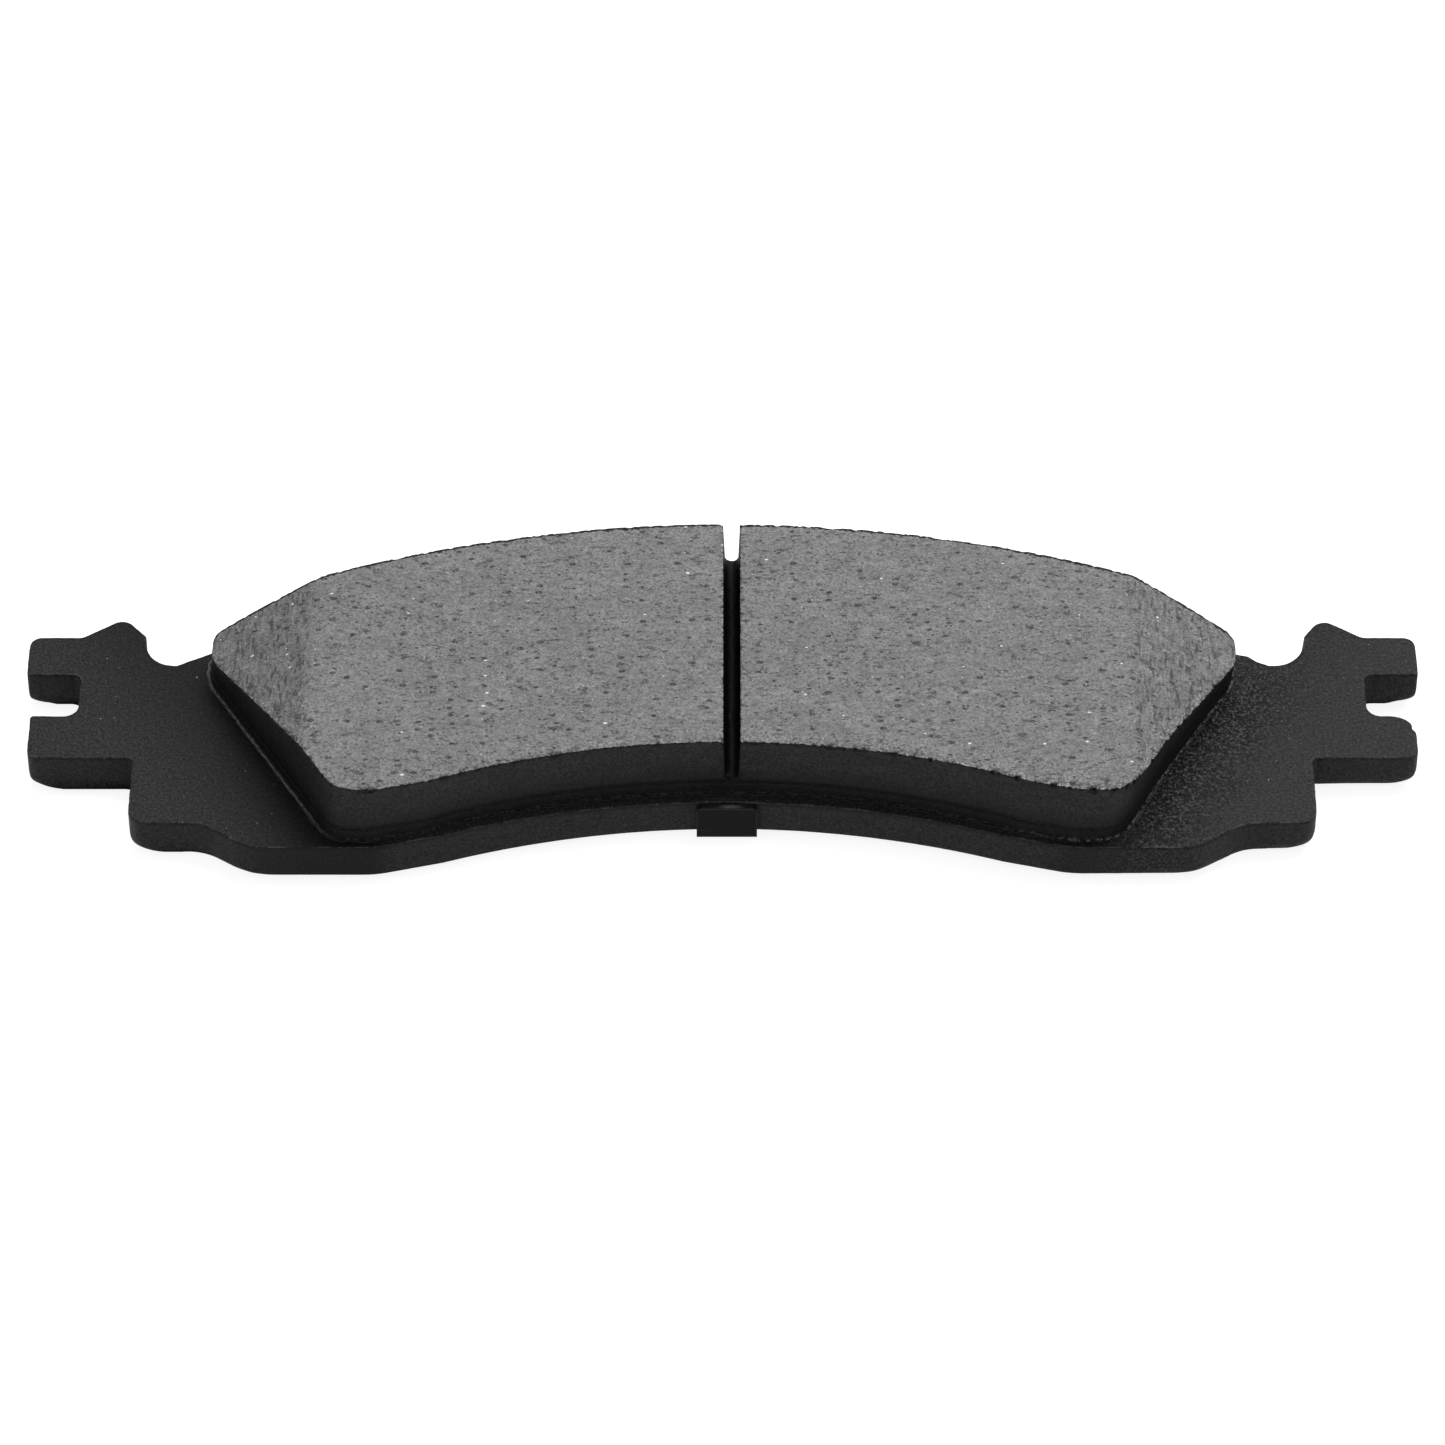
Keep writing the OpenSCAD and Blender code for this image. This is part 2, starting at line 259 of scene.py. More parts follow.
def plate_half(slot_r, low_slot_r, notch_x, inset, rolled):
    """Half of the plate's outline, from the hollow's arc round the ear to the far arc.

    The rolled outline lies `inset` inside the sharp one and has larger corner radii, and has
    the same number of points.  The notch beside the ear begins at notch_x.
    """
    low = LOBE_Y
    foot = LOBE_Y + 4.75
    # x, y, radius of the sharp corner, radius of the rolled one
    corners = np.array([
        (36, low + 3, 0, 0), (48, low, 15, 15), (65.4, low, 8, 12), (72.3, foot, 7, 8),
        (82.4, foot, 2.5, 5.0), (82.4, -10.3, 0.8, 1.4), (97.25, -10.3, 1.5, 4.4),
        (97.25, -1.95, slot_r, low_slot_r), (90.6, -1.95, 2.0, 2.4), (90.6, 6.25, 1.2, 1.8),
        (98.3, 6.25, 0.5, 3.0), (98.3, 13.8, 1.8, 3.0), (90.8, 13.8, 3, 3.4), (85.1, 17.7, 2.0, 2.6),
        (notch_x, 14.0, 1, 1.2), (81.6, NOTCH_Y, 4.4, 4.2), (70, NOTCH_Y, 0, 0)])
    place = corners[:, :2]
    along = unit(np.diff(place, axis=0))
    out = np.stack([along[:, 1], -along[:, 0]], 1)
    before = np.concatenate([out[:1], out])
    after = np.concatenate([out, out[-1:]])
    move = (before + after) / (1 + (before * after).sum(1, keepdims=True))
    place = place - move * inset
    place[0] = meet(place[1], place[0], HOLLOW_Y, PLATE_NEAR_R + inset)
    place[-1] = meet(place[-2], place[-1], DISC_Y, PLATE_FAR_R - inset)
    return rounded(np.column_stack([place, corners[:, 3 if rolled else 2]]), closed=False)


def plate_outline(rolled, right_inset, left_inset):
    """The plate's whole outline, counter-clockwise: both halves joined by its two arcs."""
    right = plate_half(3.5, 4.0, 82.6, right_inset, rolled)
    left = plate_half(0.5, 2.4, 81.8, left_inset, rolled)[::-1] * [-1, 1]
    share = np.linspace(0, 1, 400)
    inset = right_inset + (left_inset - right_inset) * share
    x = right[-1, 0] + (left[0, 0] - right[-1, 0]) * share
    far = np.stack([x, on_arc(DISC_Y, PLATE_FAR_R - inset, x)], 1)[1:-1]
    x = left[-1, 0] + (right[0, 0] - left[-1, 0]) * share
    hollow = np.stack([x, on_arc(HOLLOW_Y, PLATE_NEAR_R + inset[::-1], x)], 1)[1:-1]
    return np.concatenate([right, far, left, hollow])


def plate_loops(spacing, look):
    """The sharp outline of the plate's lining side and the rolled one of its shim side.

    Both are sampled at even steps of their mean length, so their points match.
    """
    roll = look.die_roll / MM
    sharp = plate_outline(False, 0.0, 0.0)
    rolled = plate_outline(True, roll, 0.16 * roll)
    both = np.concatenate([np.concatenate([sharp, sharp[:1]]), np.concatenate([rolled, rolled[:1]])], 1)
    run = (lengths_along(both[:, :2]) + lengths_along(both[:, 2:])) / 2
    count = int(round(run[-1] / spacing))
    place = np.arange(count) * run[-1] / count
    both = np.stack([np.interp(place, run, both[:, i]) for i in range(4)], 1)
    return both[:, :2], both[:, 2:]


def lining_shores():
    """The lining's near and far edges of its +X half, as dense paths that meet at its end."""
    high_y = LOBE_Y + 1.4 + (LINING_HALF_L - END_LOW_X) / math.tan(END_LEAN)
    low_y = LOBE_Y + 1.4
    far_y = float(on_arc(DISC_Y, LINING_FAR_R, 60.0)) + 0.1
    near = rounded([(0, low_y + 2.4, 0), (38, low_y + 2.4, 0), (48.5, low_y, 6), (END_LOW_X, low_y, 4.5),
                    (LINING_HALF_L, high_y, 7), (LINING_HALF_L, high_y + 2.5, 0)], closed=False)
    far = rounded([(0, 28.7, 0), (50, 28.7, 0), (60, far_y + 0.2, 0), (LINING_HALF_L, high_y + 5.6, 3),
                   (LINING_HALF_L, high_y + 2.5, 0)], closed=False)
    near = at_length(near, np.arange(0, lengths_along(near)[-1], 0.05))
    far = at_length(far, np.arange(0, lengths_along(far)[-1], 0.05))
    arc = on_arc(DISC_Y, LINING_NEAR_R, np.minimum(near[:, 0], 46))
    near[:, 1] = np.where(near[:, 0] < 46, np.maximum(near[:, 1], arc), near[:, 1])
    far[:, 1] = np.minimum(far[:, 1], on_arc(DISC_Y, LINING_FAR_R, far[:, 0]))
    return near, far


def lining_loop(spacing, grow=0.0):
    """The lining's outline, moved outwards by grow, counter-clockwise."""
    near, far = lining_shores()
    half = np.concatenate([near, far[::-1]])
    half = half[half[:, 0] > 0.02]
    loop = evenly(np.concatenate([half, half[::-1] * [-1, 1]]), spacing)
    loop = loop + outward(loop) * grow
    return loop + [LINING_X, 0]


def leaned(points, lean):
    """Points of the lining leaned towards +X by `lean` mm over its height, except at the groove.

    Its +X near corner also stands out a little further along the pad than the -X one.
    """
    share = np.clip(np.abs(points[..., 0] - GROOVE_X) / 30 - 0.1, 0, 1)
    share = share * share * (3 - 2 * share)
    out = points.copy()
    out[..., 0] += lean * share * (points[..., 2] - 11.5) / 10
    corner = np.exp(-np.square((points[..., 1] + 23.5) / 6.5)) * np.clip((points[..., 0] - 48) / 6, 0, 1)
    out[..., 0] += 0.8 * corner
    return out


def key_loops(count=64):
    """Outlines of the four key holes, counter-clockwise."""
    a = np.linspace(0, 2 * np.pi, count, endpoint=False)
    rim = KEY_HOLE_R * np.stack([np.cos(a), np.sin(a)], 1)
    centre = np.stack([-np.sin(KEY_ANGLES) * KEY_CIRCLE_R, DISC_Y + np.cos(KEY_ANGLES) * KEY_CIRCLE_R], 1)
    return centre[:, None] + rim[None]


def key_walls(first, low, high):
    """The key holes' outlines at two heights, and their vertex numbers counted from `first`.

    Returns the points, the outlines, and the numbers of the low and of the high stations.
    """
    keys = key_loops()
    size = keys.shape[1]
    points = np.concatenate([
        np.stack([np.concatenate([k, np.full((size, 1), h)], 1) for k in keys]).reshape(-1, 3)
        for h in (low, high)])
    begin = first + (np.arange(len(keys))[:, None] * size + np.arange(size)[None])
    return points, list(keys), begin, begin + keys.shape[0] * size


def between(low, high):
    """Quads between the low and the high stations of loops; they face out where low is below."""
    return np.stack([low, np.roll(low, -1, 1), np.roll(high, -1, 1), high], -1).reshape(-1, 4)


def renumbered(triangles, count, ring, holes):
    """Triangles of `fill` with an outer loop of `count` stations from `ring`, and holes from `holes`."""
    return np.where(triangles < count, triangles + ring, triangles - count + holes)


# ---- Pieces ----

def friction_shape(look):
    """The friction block as one closed surface.

    The top is a function of a column s and a row t: t runs straight from the near edge to the
    far edge, and s runs along the pad and down and up the groove.  Its height is the face less
    the chamfers, the groove, the pits and the crumbled rim.  Its border drops to the base.
    """
    near, far = lining_shores()
    shift = np.array([LINING_X, 0])
    inner = 44.0
    # columns across the middle, with the groove's section among them
    depth = np.array([0, 0.15, 0.4, 0.9, 1.8, 3.2, 4.8, GROOVE_DEPTH - GROOVE_FLOOR_R])
    taper = (GROOVE_W / 2 - GROOVE_FLOOR_R) * depth / depth[-1]
    turn = np.linspace(0, np.pi, 11)[1:-1]
    floor_x = -GROOVE_FLOOR_R * np.cos(turn)
    floor_d = GROOVE_DEPTH - GROOVE_FLOOR_R + GROOVE_FLOOR_R * np.sin(turn)
    groove_x = np.concatenate([-GROOVE_W / 2 + taper, floor_x, (GROOVE_W / 2 - taper)[::-1]]) + GROOVE_X
    groove_d = np.concatenate([depth, floor_d, depth[::-1]])
    left = np.linspace(LINING_X - inner, groove_x[0], 148)[:-1]
    right = np.linspace(groove_x[-1], LINING_X + inner, 142)[1:]
    middle = np.concatenate([left, groove_x, right])
    drop = np.concatenate([left * 0, groove_d, right * 0])
    in_groove = np.concatenate([left * 0, np.minimum(groove_d / 0.15, 1), right * 0])
    # columns over the ends, at equal shares of the two edges' lengths
    share = np.linspace(0, 1, 146)[1:]

    def end_points(path):
        run = lengths_along(path)
        begin = np.interp(inner, path[:, 0], run)
        return at_length(path, begin + share * (run[-1] - begin))

    def edge(path):
        end = end_points(path)
        low = path[:, 0] < 50
        mid = np.stack([middle, np.interp(np.abs(middle - LINING_X), path[low, 0], path[low, 1])], 1)
        return np.concatenate([end[::-1] * [-1, 1] + shift, mid, end + shift])

    near_edge, far_edge = edge(near), edge(far)
    drop = np.concatenate([share * 0, drop, share * 0])
    in_groove = np.concatenate([share * 0, in_groove, share * 0])
    fine = np.array([0, 0.003, 0.006, 0.010, 0.015, 0.022, 0.031, 0.040])
    t = np.concatenate([fine, np.linspace(0.05, 0.95, 98), (1 - fine)[::-1]])[:, None]
    span = np.linalg.norm(far_edge - near_edge, axis=1)
    xy = near_edge[None] * (1 - t[..., None]) + far_edge[None] * t[..., None]
    x, y = xy[..., 0], xy[..., 1]

    # chamfers: planes that deepen outwards from two slanted lines, with a soft crease
    slant = math.radians(3)
    past_right = (x - look.chamfer_right / MM) * math.cos(slant) - y * math.sin(slant)
    past_left = -(x + look.chamfer_left / MM) * math.cos(slant) + y * math.sin(slant)
    soft = 0.5 * (np.hypot(past_right, 0.5) + past_right) + 0.5 * (np.hypot(past_left, 0.5) + past_left)
    z = FACE_Z - math.tan(look.chamfer_angle) * soft - drop[None]

    # distance from the nearest rim of the rubbed face
    rim = np.minimum(t, 1 - t) * span[None]
    edge_of_groove = np.minimum(np.abs(x - groove_x[0]), np.abs(x - groove_x[-1]))
    edge_of_groove = np.where(in_groove[None] > 0, 0, edge_of_groove)
    worn = look.rim_wear / MM
    chip = np.clip(0.7 * grain(x, y, 0, 0.85, 3) + 0.9 * grain(x, y, 0, 0.42, 4), 0, 1)
    large_chip = np.clip(grain(x, y, 0, 2.6, 5) - 0.42, 0, 1)
    near_side = np.where(t < 0.5, 1.0, 0.35)
    corner = np.exp(-np.square((x - 52) / 16) - np.square((y + 26) / 4))
    bite = worn * (0.25 + 2.2 * chip * (near_side + 0.8 * corner) + 2.6 * large_chip * near_side)
    fall = bite * np.exp(-np.square(rim / (0.28 + 0.5 * chip)))
    groove_bite = worn * (0.15 + 1.0 * chip) * np.exp(-edge_of_groove / 0.22)
    # pits in the rubbed face, longer along the pad
    flat_face = np.clip(rim / 0.6, 0, 1) * (in_groove[None] == 0)
    pit = np.clip(grain(x / 1.5, y / 0.8, 0, 0.8, 6) - 0.38, 0, 1)
    ripple = 0.018 * grain(x / 3, y, 0, 0.7, 7) + 0.012 * grain(x, y, 0, 0.5, 8)
    z = z - np.minimum(fall, 0.6) - groove_bite - flat_face * (look.pit_depth / MM * pit * 2 + ripple)
    # the rim is pulled inwards a little, more where it is chipped
    rough = near_side * (0.7 + 0.7 * np.clip((x - 5) / 30, 0, 1))
    inward = (0.04 + 0.55 * chip * rough + 0.6 * large_chip * near_side + 0.3 * corner * chip)
    inward = inward * (look.rim_wear / 0.00018) * np.exp(-rim / 0.45)
    inward = np.where(rim < 1.5, inward, 0) * np.clip(span / 6, 0, 1)[None]
    aim = (far_edge - near_edge) / np.maximum(span, 1e-6)[:, None]
    x = x + aim[None, :, 0] * inward * np.where(t < 0.5, 1, -1)
    y = y + aim[None, :, 1] * inward * np.where(t < 0.5, 1, -1)
    x = x + 0.10 * grain(x * 0, y, z, 0.8, 9) * (drop[None] > 0) * np.exp(-drop[None] / 1.2)
    top = np.stack([x, y, z], -1)
    rows, columns = x.shape

    # border of the top, counter-clockwise
    number = np.arange(rows * columns).reshape(rows, columns)
    border = np.concatenate([number[0, :-1], number[:-1, -1], number[-1, :0:-1], number[:0:-1, 0]])
    loop = xy.reshape(-1, 2)[border]
    height = top.reshape(-1, 3)[border, 2]
    normal = window_normals(loop)
    level = np.array([0.0, 0.35, 0.8, 1.6, 2.8, 4.2, 5.6, 7.0])[:, None]
    run = np.maximum(height - UNDERLAYER_TOP_Z, 0.02)
    down = np.minimum(level + 0.12, 7.9) / 7.9 * run[None]
    wall_z = np.concatenate([height[None] - down, np.full((1, len(border)), UNDERLAYER_TOP_Z)])
    wave = 0.05 * grain(loop[None, :, 0], loop[None, :, 1], wall_z, 3.0, 10) \
        + 0.02 * grain(loop[None, :, 0], loop[None, :, 1], wall_z, 0.6, 11)
    wave[-1] = 0
    wall = np.concatenate([loop[None] + normal[None] * wave[..., None], wall_z[..., None]], -1)
    wall = wall[::-1]                                       # rows from the base up
    count = len(border)
    base = rows * columns
    quads = [sheet_quads(rows, columns), ring_quads(len(wall), count, base)]
    last = base + (len(wall) - 1) * count + np.arange(count)
    quads.append(np.stack([last, np.roll(last, -1), np.roll(border, -1), border], -1))
    bottom = base + fill([wall[0]], upward=False)
    points = np.concatenate([top.reshape(-1, 3), wall.reshape(-1, 3)])
    rubbed = (in_groove[None] == 0) * np.ones((rows, 1))
    rubbed = rubbed * np.clip(np.where(t < 0.5, 0.48 + rim / 0.65, -0.10 + rim / 0.75), 0, 1)
    rubbed = np.minimum(rubbed, 0.6 + edge_of_groove / 0.5)
    rubbed = np.concatenate([rubbed.ravel(), np.zeros(wall.shape[0] * count)])
    crumb = np.exp(-rim / 1.1) * near_side * np.clip(0.75 + x / 90, 0.5, 1.3)
    crumb = crumb + 0.5 * np.exp(-edge_of_groove / 0.3)
    crumb = np.concatenate([np.clip(crumb, 0, 1).ravel(), np.zeros(wall.shape[0] * count)])
    return leaned(points, look.lean / MM), np.concatenate(quads), bottom, rubbed, crumb


def window_normals(loop):
    """Outward normals of a loop whose stations may coincide, smoothed over a few of them."""
    edge = np.roll(loop, -1, 0) - np.roll(loop, 1, 0)
    smooth = np.stack([window(edge[:, 0], 3, np.mean), window(edge[:, 1], 3, np.mean)], 1)
    size = np.maximum(np.linalg.norm(smooth, axis=1, keepdims=True), 1e-9)
    return np.stack([smooth[:, 1], -smooth[:, 0]], 1) / size


def underlayer_shape(look):
    """The underlayer: a profile with a flash lip carried along the lining's outline, and plugs.

    The profile runs out along the base, up the lip, back in to the wall and up to the friction
    block.  Four plugs hang from the base into the plate's key holes.
    """
    loop = lining_loop(0.25)
    x, y = loop[:, 0], loop[:, 1]
    right = np.clip(x / 40 - 0.8, 0, 1)
    ragged = 0.5 + 0.5 * grain(x, y, 0, 0.9, 21) + (0.2 + 0.6 * right) * grain(x, y, 0, 0.4, 22)
    reach = look.flash / MM * np.clip(0.45 + 0.55 * ragged, 0.25, 1.0)
    rise = look.flash / MM * np.clip(0.6 + 0.4 * grain(x, y, 3, 0.7, 23), 0.3, 1.0)
    one = np.ones_like(reach)
    none = 0 * one
    offset = np.stack([-0.6 * one, reach - 0.05, reach, 0.75 * reach, 0.25 * reach, 0.02 * one, none, none])
    height = FILM_TOP_Z + np.stack(
        [none, none, 0.35 * rise, 0.8 * rise, rise, rise + 0.12, 1.2 * one, 2.0 * one])
    rows = carried(loop, offset, height)
    count = len(loop)
    points = leaned(rows.reshape(-1, 3), look.lean / MM)
    quads = [ring_quads(len(rows), count)]
    top = (len(rows) - 1) * count + fill([rows[-1]])
    first = len(points)
    plug, keys, high, low = key_walls(first, FILM_TOP_Z, PLATE_Z)
    base = renumbered(fill([points[:count]] + keys, upward=False), count, 0, first)
    quads.append(between(low, high))
    fan = np.repeat(low[:, :1], low.shape[1] - 2, 1)
    ends = np.stack([fan, low[:, 2:], low[:, 1:-1]], -1).reshape(-1, 3)
    points = np.concatenate([points, plug])
    lip = np.concatenate([np.repeat([0, 1, 1, 1, 0.8, 0.1, 0, 0], count), np.zeros(len(plug))])
    return points, np.concatenate(quads), np.concatenate([top, base, ends]), lip


def film_shape(look):
    """The bond film: a thin sheet on the plate with a ragged edge, open over the key holes."""
    loop = lining_loop(0.25)
    x, y = loop[:, 0], loop[:, 1]
    reach = look.flash / MM * (1.0 + 0.35 * grain(x, y, 0, 1.3, 31) + 0.2 * grain(x, y, 0, 0.45, 32))
    one = np.ones_like(reach)
    offset = np.stack([reach, reach + 0.03, reach])
    height = np.stack([PLATE_TOP_Z * one, PLATE_TOP_Z + 0.05 * one, FILM_TOP_Z * one])
    rows = carried(loop, offset, height)
    count = len(loop)
    points = leaned(rows.reshape(-1, 3), look.lean / MM)
    first = len(points)
    rims, keys, low, high = key_walls(first, PLATE_TOP_Z, FILM_TOP_Z)
    bottom = renumbered(fill([points[:count]] + keys, upward=False), count, 0, first)
    top = renumbered(fill([points[2 * count:3 * count]] + keys), count, 2 * count, high[0, 0])
    quads = np.concatenate([ring_quads(3, count), between(high, low)])
    return np.concatenate([points, rims]), quads, np.concatenate([bottom, top])


def plate_shape(look):
    """The backing plate: a stamped edge between two outlines, flat faces and key holes.

    From the shim side up, the edge runs on a quarter ellipse from the rolled outline to the
    sharp one (the die roll), up a straight wall, over a small quarter ellipse to the top, and
    on to one more row inside the flat top.  The die roll is taller where the two outlines lie
    further apart, as at the prongs' corners.
    """
    sharp, rolled = plate_loops(0.2, look)
    x, y = sharp[:, 0], sharp[:, 1]
    normal = outward(sharp)
    # a chip in the +X near prong and a lump beside the +X notch
    chip = -0.35 * np.exp(-np.square((y + 4.4) / 0.55)) * ((x > 96) & (y < 0))
    lump = 0.32 * np.exp(-np.square((x - 74.2) / 0.9)) * (y > 5)
    burr = 0.03 * grain(x, y, 0, 1.1, 44) + 0.02 * grain(x, y, 0, 0.45, 45)
    sharp = sharp + normal * (chip + lump + burr)[:, None]
    # the wall leans out under the prongs' near edges, except at the tips, where the roll is wide
    foot = 0.35 * np.clip(-x - 70, 0, 5) / 5 * (y < -8)
    near_prong = 0.45 * np.clip(-x - 82, 0, 1) * np.clip((-8 - y) / 2, 0, 1) * np.clip(97.3 + x, 0, 2) / 2
    tip = np.clip((98.6 - np.abs(x)) / 2.5, -0.4, 1)
    in_slot = np.clip((y - 2) / 4, 0, 1) * np.clip((9.5 - y) / 2.5, 0, 1) * (np.abs(x) > 90)
    far_prong = np.where(x > 0, 0.72, 0.45) * in_slot * tip
    rolled = rolled - np.stack([0 * x, foot + near_prong + far_prong], 1)
    apart = np.linalg.norm(sharp - rolled, axis=1)
    tall = np.minimum(0.2 + 1.0 * apart, 2.6) * (1 + 0.12 * grain(x, y, 0, 7.0, 41))
    room = np.where(bend_radius(sharp) > 0, 0.8 * bend_radius(sharp), 9.0)
    room = window(window(np.minimum(room, 3.0), 4, np.min), 4, np.mean)
    brk = np.minimum(look.edge_break / MM * (1 + 0.35 * grain(x, y, 0, 1.2, 42)), np.maximum(room, 0.05))
    a = np.linspace(0, np.pi / 2, 9)[:, None, None]
    low = sharp + (rolled - sharp) * (1 - np.sin(a))
    low_z = PLATE_Z + tall * (1 - np.cos(a[..., 0]))
    b = np.linspace(0, np.pi / 2, 5)[:, None]
    high = sharp - outward(sharp) * (brk * (1 - np.cos(b)))[..., None]
    high_z = PLATE_TOP_Z - brk * (1 - np.sin(b))
    inner = sharp - outward(sharp) * np.minimum(brk + 0.3, np.maximum(room, 0.05))[:, None]
    high = np.concatenate([high, inner[None]])
    high_z = np.concatenate([high_z, high_z[-1:]])
    share = np.array([0.3, 0.6, 0.88, 0.96])[:, None]
    mid_z = low_z[-1:] * (1 - share) + high_z[:1] * share
    mid = sharp + normal * (0.025 * grain(x[None] * 2, y[None] * 2, mid_z * 0.6, 1.0, 43))[..., None]
    rows = np.concatenate([
        np.concatenate([low, mid, high]), np.concatenate([low_z, mid_z, high_z])[..., None]], -1)
    count = len(sharp)
    points = rows.reshape(-1, 3)
    first = len(points)
    rims, keys, below, above = key_walls(first, PLATE_Z, PLATE_TOP_Z)
    bottom = renumbered(fill([rows[0]] + keys, upward=False), count, 0, first)
    top = renumbered(fill([rows[-1]] + keys), count, (len(rows) - 1) * count, above[0, 0])
    quads = np.concatenate([ring_quads(len(rows), count), between(above, below)])
    # the edge's light and shadow on its last rows; 0 on the flat top's border, which it would fill
    near_row = np.array([-1, -1, -0.2, 0.8, 1, 0.2, 0])[:, None]
    far_row = np.array([0, -1, -1, -1, -1, -0.8, 0])[:, None]
    edge = np.where(normal[None, :, 1] > 0.25, far_row, near_row)
    plain = (len(rows) - len(edge)) * count
    edge = np.concatenate([np.zeros(plain), edge.ravel(), np.zeros(len(rims))])
    return np.concatenate([points, rims]), quads, np.concatenate([bottom, top]), edge


# ---- Shader groups and materials ----

def new_group(name, inputs, outputs):
    """A shader node group with named sockets; returns it with its input and output nodes."""
    group = bpy.data.node_groups.new(name, "ShaderNodeTree")
    for label, kind, default in inputs:
        socket = group.interface.new_socket(label, in_out="INPUT", socket_type=kind)
        if default is not None:
            socket.default_value = default
    for label, kind in outputs:
        group.interface.new_socket(label, in_out="OUTPUT", socket_type=kind)
    return group, group.nodes.new("NodeGroupInput"), group.nodes.new("NodeGroupOutput")


def connect(tree, node, links):
    """Feeds a node's inputs, given by name or number, from sockets or with values."""
    for key, source in links.items():
        if isinstance(source, bpy.types.NodeSocket):
            tree.links.new(source, node.inputs[key])
        else:
            node.inputs[key].default_value = source


def add(tree, kind, links=(), **settings):
    """A node with its settings; links maps its input names or numbers to sockets or values."""
    node = tree.nodes.new(kind)
    for key, value in settings.items():
        setattr(node, key, value)
    connect(tree, node, dict(links))
    return node


def math_node(tree, operation, *values, clamp=False):
    """Output of a Math node."""
    links = dict(enumerate(values))
    return add(tree, "ShaderNodeMath", links, operation=operation, use_clamp=clamp).outputs[0]


def ramp(tree, value, low, high, to_low=0.0, to_high=1.0):
    """A value mapped smoothly from [low, high] to [to_low, to_high]."""
    links = {"Value": value, "From Min": low, "From Max": high, "To Min": to_low, "To Max": to_high}
    return add(tree, "ShaderNodeMapRange", links, interpolation_type="SMOOTHSTEP").outputs["Result"]


def mix_colour(tree, share, a, b, blend="MIX"):
    """Output of a colour Mix node; its colour sockets are 6 and 7."""
    links = {0: share, 6: a, 7: b}
    return add(tree, "ShaderNodeMix", links, data_type="RGBA", blend_type=blend).outputs[2]


def times(tree, a, b):
    """Product of two values."""
    return math_node(tree, "MULTIPLY", a, b)


def shaded(tree, colour, value):
    """A colour multiplied by a value."""
    factor = add(tree, "ShaderNodeCombineColor", {0: value, 1: value, 2: value}).outputs[0]
    return mix_colour(tree, 1.0, colour, factor, "MULTIPLY")


def covered(tree, colour, mask, share, v):
    """A colour covered by the neutral colour v where the mask is 1, as far as the share says."""
    return mix_colour(tree, times(tree, mask, share), colour, grey(v))


def grey(v):
    """A neutral colour."""
    return (v, v, v * 1.01, 1.0)


def scaled(colour, k):
    """A colour setting multiplied by k, with alpha 1."""
    return tuple(k * c for c in colour) + (1.0,)


def stretched(tree, vector, scale):
    """A vector multiplied by a scale along each axis."""
    node = add(tree, "ShaderNodeVectorMath", {0: vector, 1: scale}, operation="MULTIPLY")
    return node.outputs[0]


def noise(tree, vector, scale, detail=2.0, roughness=0.5):
    """Factor of a noise texture; the scale is in cycles per metre."""
    links = {"Vector": vector, "Scale": scale, "Detail": detail, "Roughness": roughness}
    return add(tree, "ShaderNodeTexNoise", links).outputs["Fac"]


def build_specks():
    """Group: sparse spots seen from above, in a share of the cells of a flat lattice, of random sizes."""
    group, given, out = new_group(
        "Sparse specks",
        [("Vector", "NodeSocketVector", None), ("Cells per metre", "NodeSocketFloat", 1000.0),
         ("Share", "NodeSocketFloat", 0.3), ("Radius", "NodeSocketFloat", 0.25)],
        [("Mask", "NodeSocketFloat")])
    links = {"Vector": given.outputs["Vector"], "Scale": given.outputs["Cells per metre"]}
    cells = add(group, "ShaderNodeTexVoronoi", links, voronoi_dimensions="2D")
    pick = add(group, "ShaderNodeSeparateColor", {0: cells.outputs["Color"]})
    chosen = math_node(group, "LESS_THAN", pick.outputs[0], given.outputs["Share"])
    size = math_node(group, "MULTIPLY_ADD", pick.outputs[1], 0.7, 0.3)
    reach = math_node(group, "MULTIPLY", size, given.outputs["Radius"])
    inside = math_node(group, "DIVIDE", cells.outputs["Distance"], reach)
    spot = ramp(group, inside, 1.0, 0.55)
    group.links.new(math_node(group, "MULTIPLY", spot, chosen), out.inputs["Mask"])
    return group


def build_paint_skin():
    """Group: the height of sprayed paint, coarser where the roughness mask is high."""
    group, given, out = new_group(
        "Paint skin",
        [("Vector", "NodeSocketVector", None), ("Coarse", "NodeSocketFloat", 0.0)],
        [("Height", "NodeSocketFloat"), ("Mottle", "NodeSocketFloat")])
    fine = noise(group, given.outputs["Vector"], 2600.0, 2.0, 0.6)
    peel = noise(group, given.outputs["Vector"], 1700.0, 2.0, 0.6)
    lump = ramp(group, peel, 0.38, 0.64)
    coarse = math_node(group, "MULTIPLY", lump, given.outputs["Coarse"])
    height = math_node(group, "MULTIPLY_ADD", coarse, 5.0, fine)
    group.links.new(height, out.inputs["Height"])
    group.links.new(noise(group, given.outputs["Vector"], 380.0, 4.0, 0.65), out.inputs["Mottle"])
    return group


def group_node(tree, group, **links):
    """A group placed in a material; links name its inputs with _ for a space."""
    named = {key.replace("_", " "): source for key, source in links.items()}
    return add(tree, "ShaderNodeGroup", named, node_tree=group)


def new_material(name):
    """A material with an empty tree, its Principled shader and its object coordinates."""
    material = bpy.data.materials.new(name)
    material.use_nodes = True
    tree = material.node_tree
    tree.nodes.clear()
    shader = tree.nodes.new("ShaderNodeBsdfPrincipled")
    out = tree.nodes.new("ShaderNodeOutputMaterial")
    tree.links.new(shader.outputs[0], out.inputs["Surface"])
    place = tree.nodes.new("ShaderNodeTexCoord").outputs["Object"]
    return material, tree, shader, place


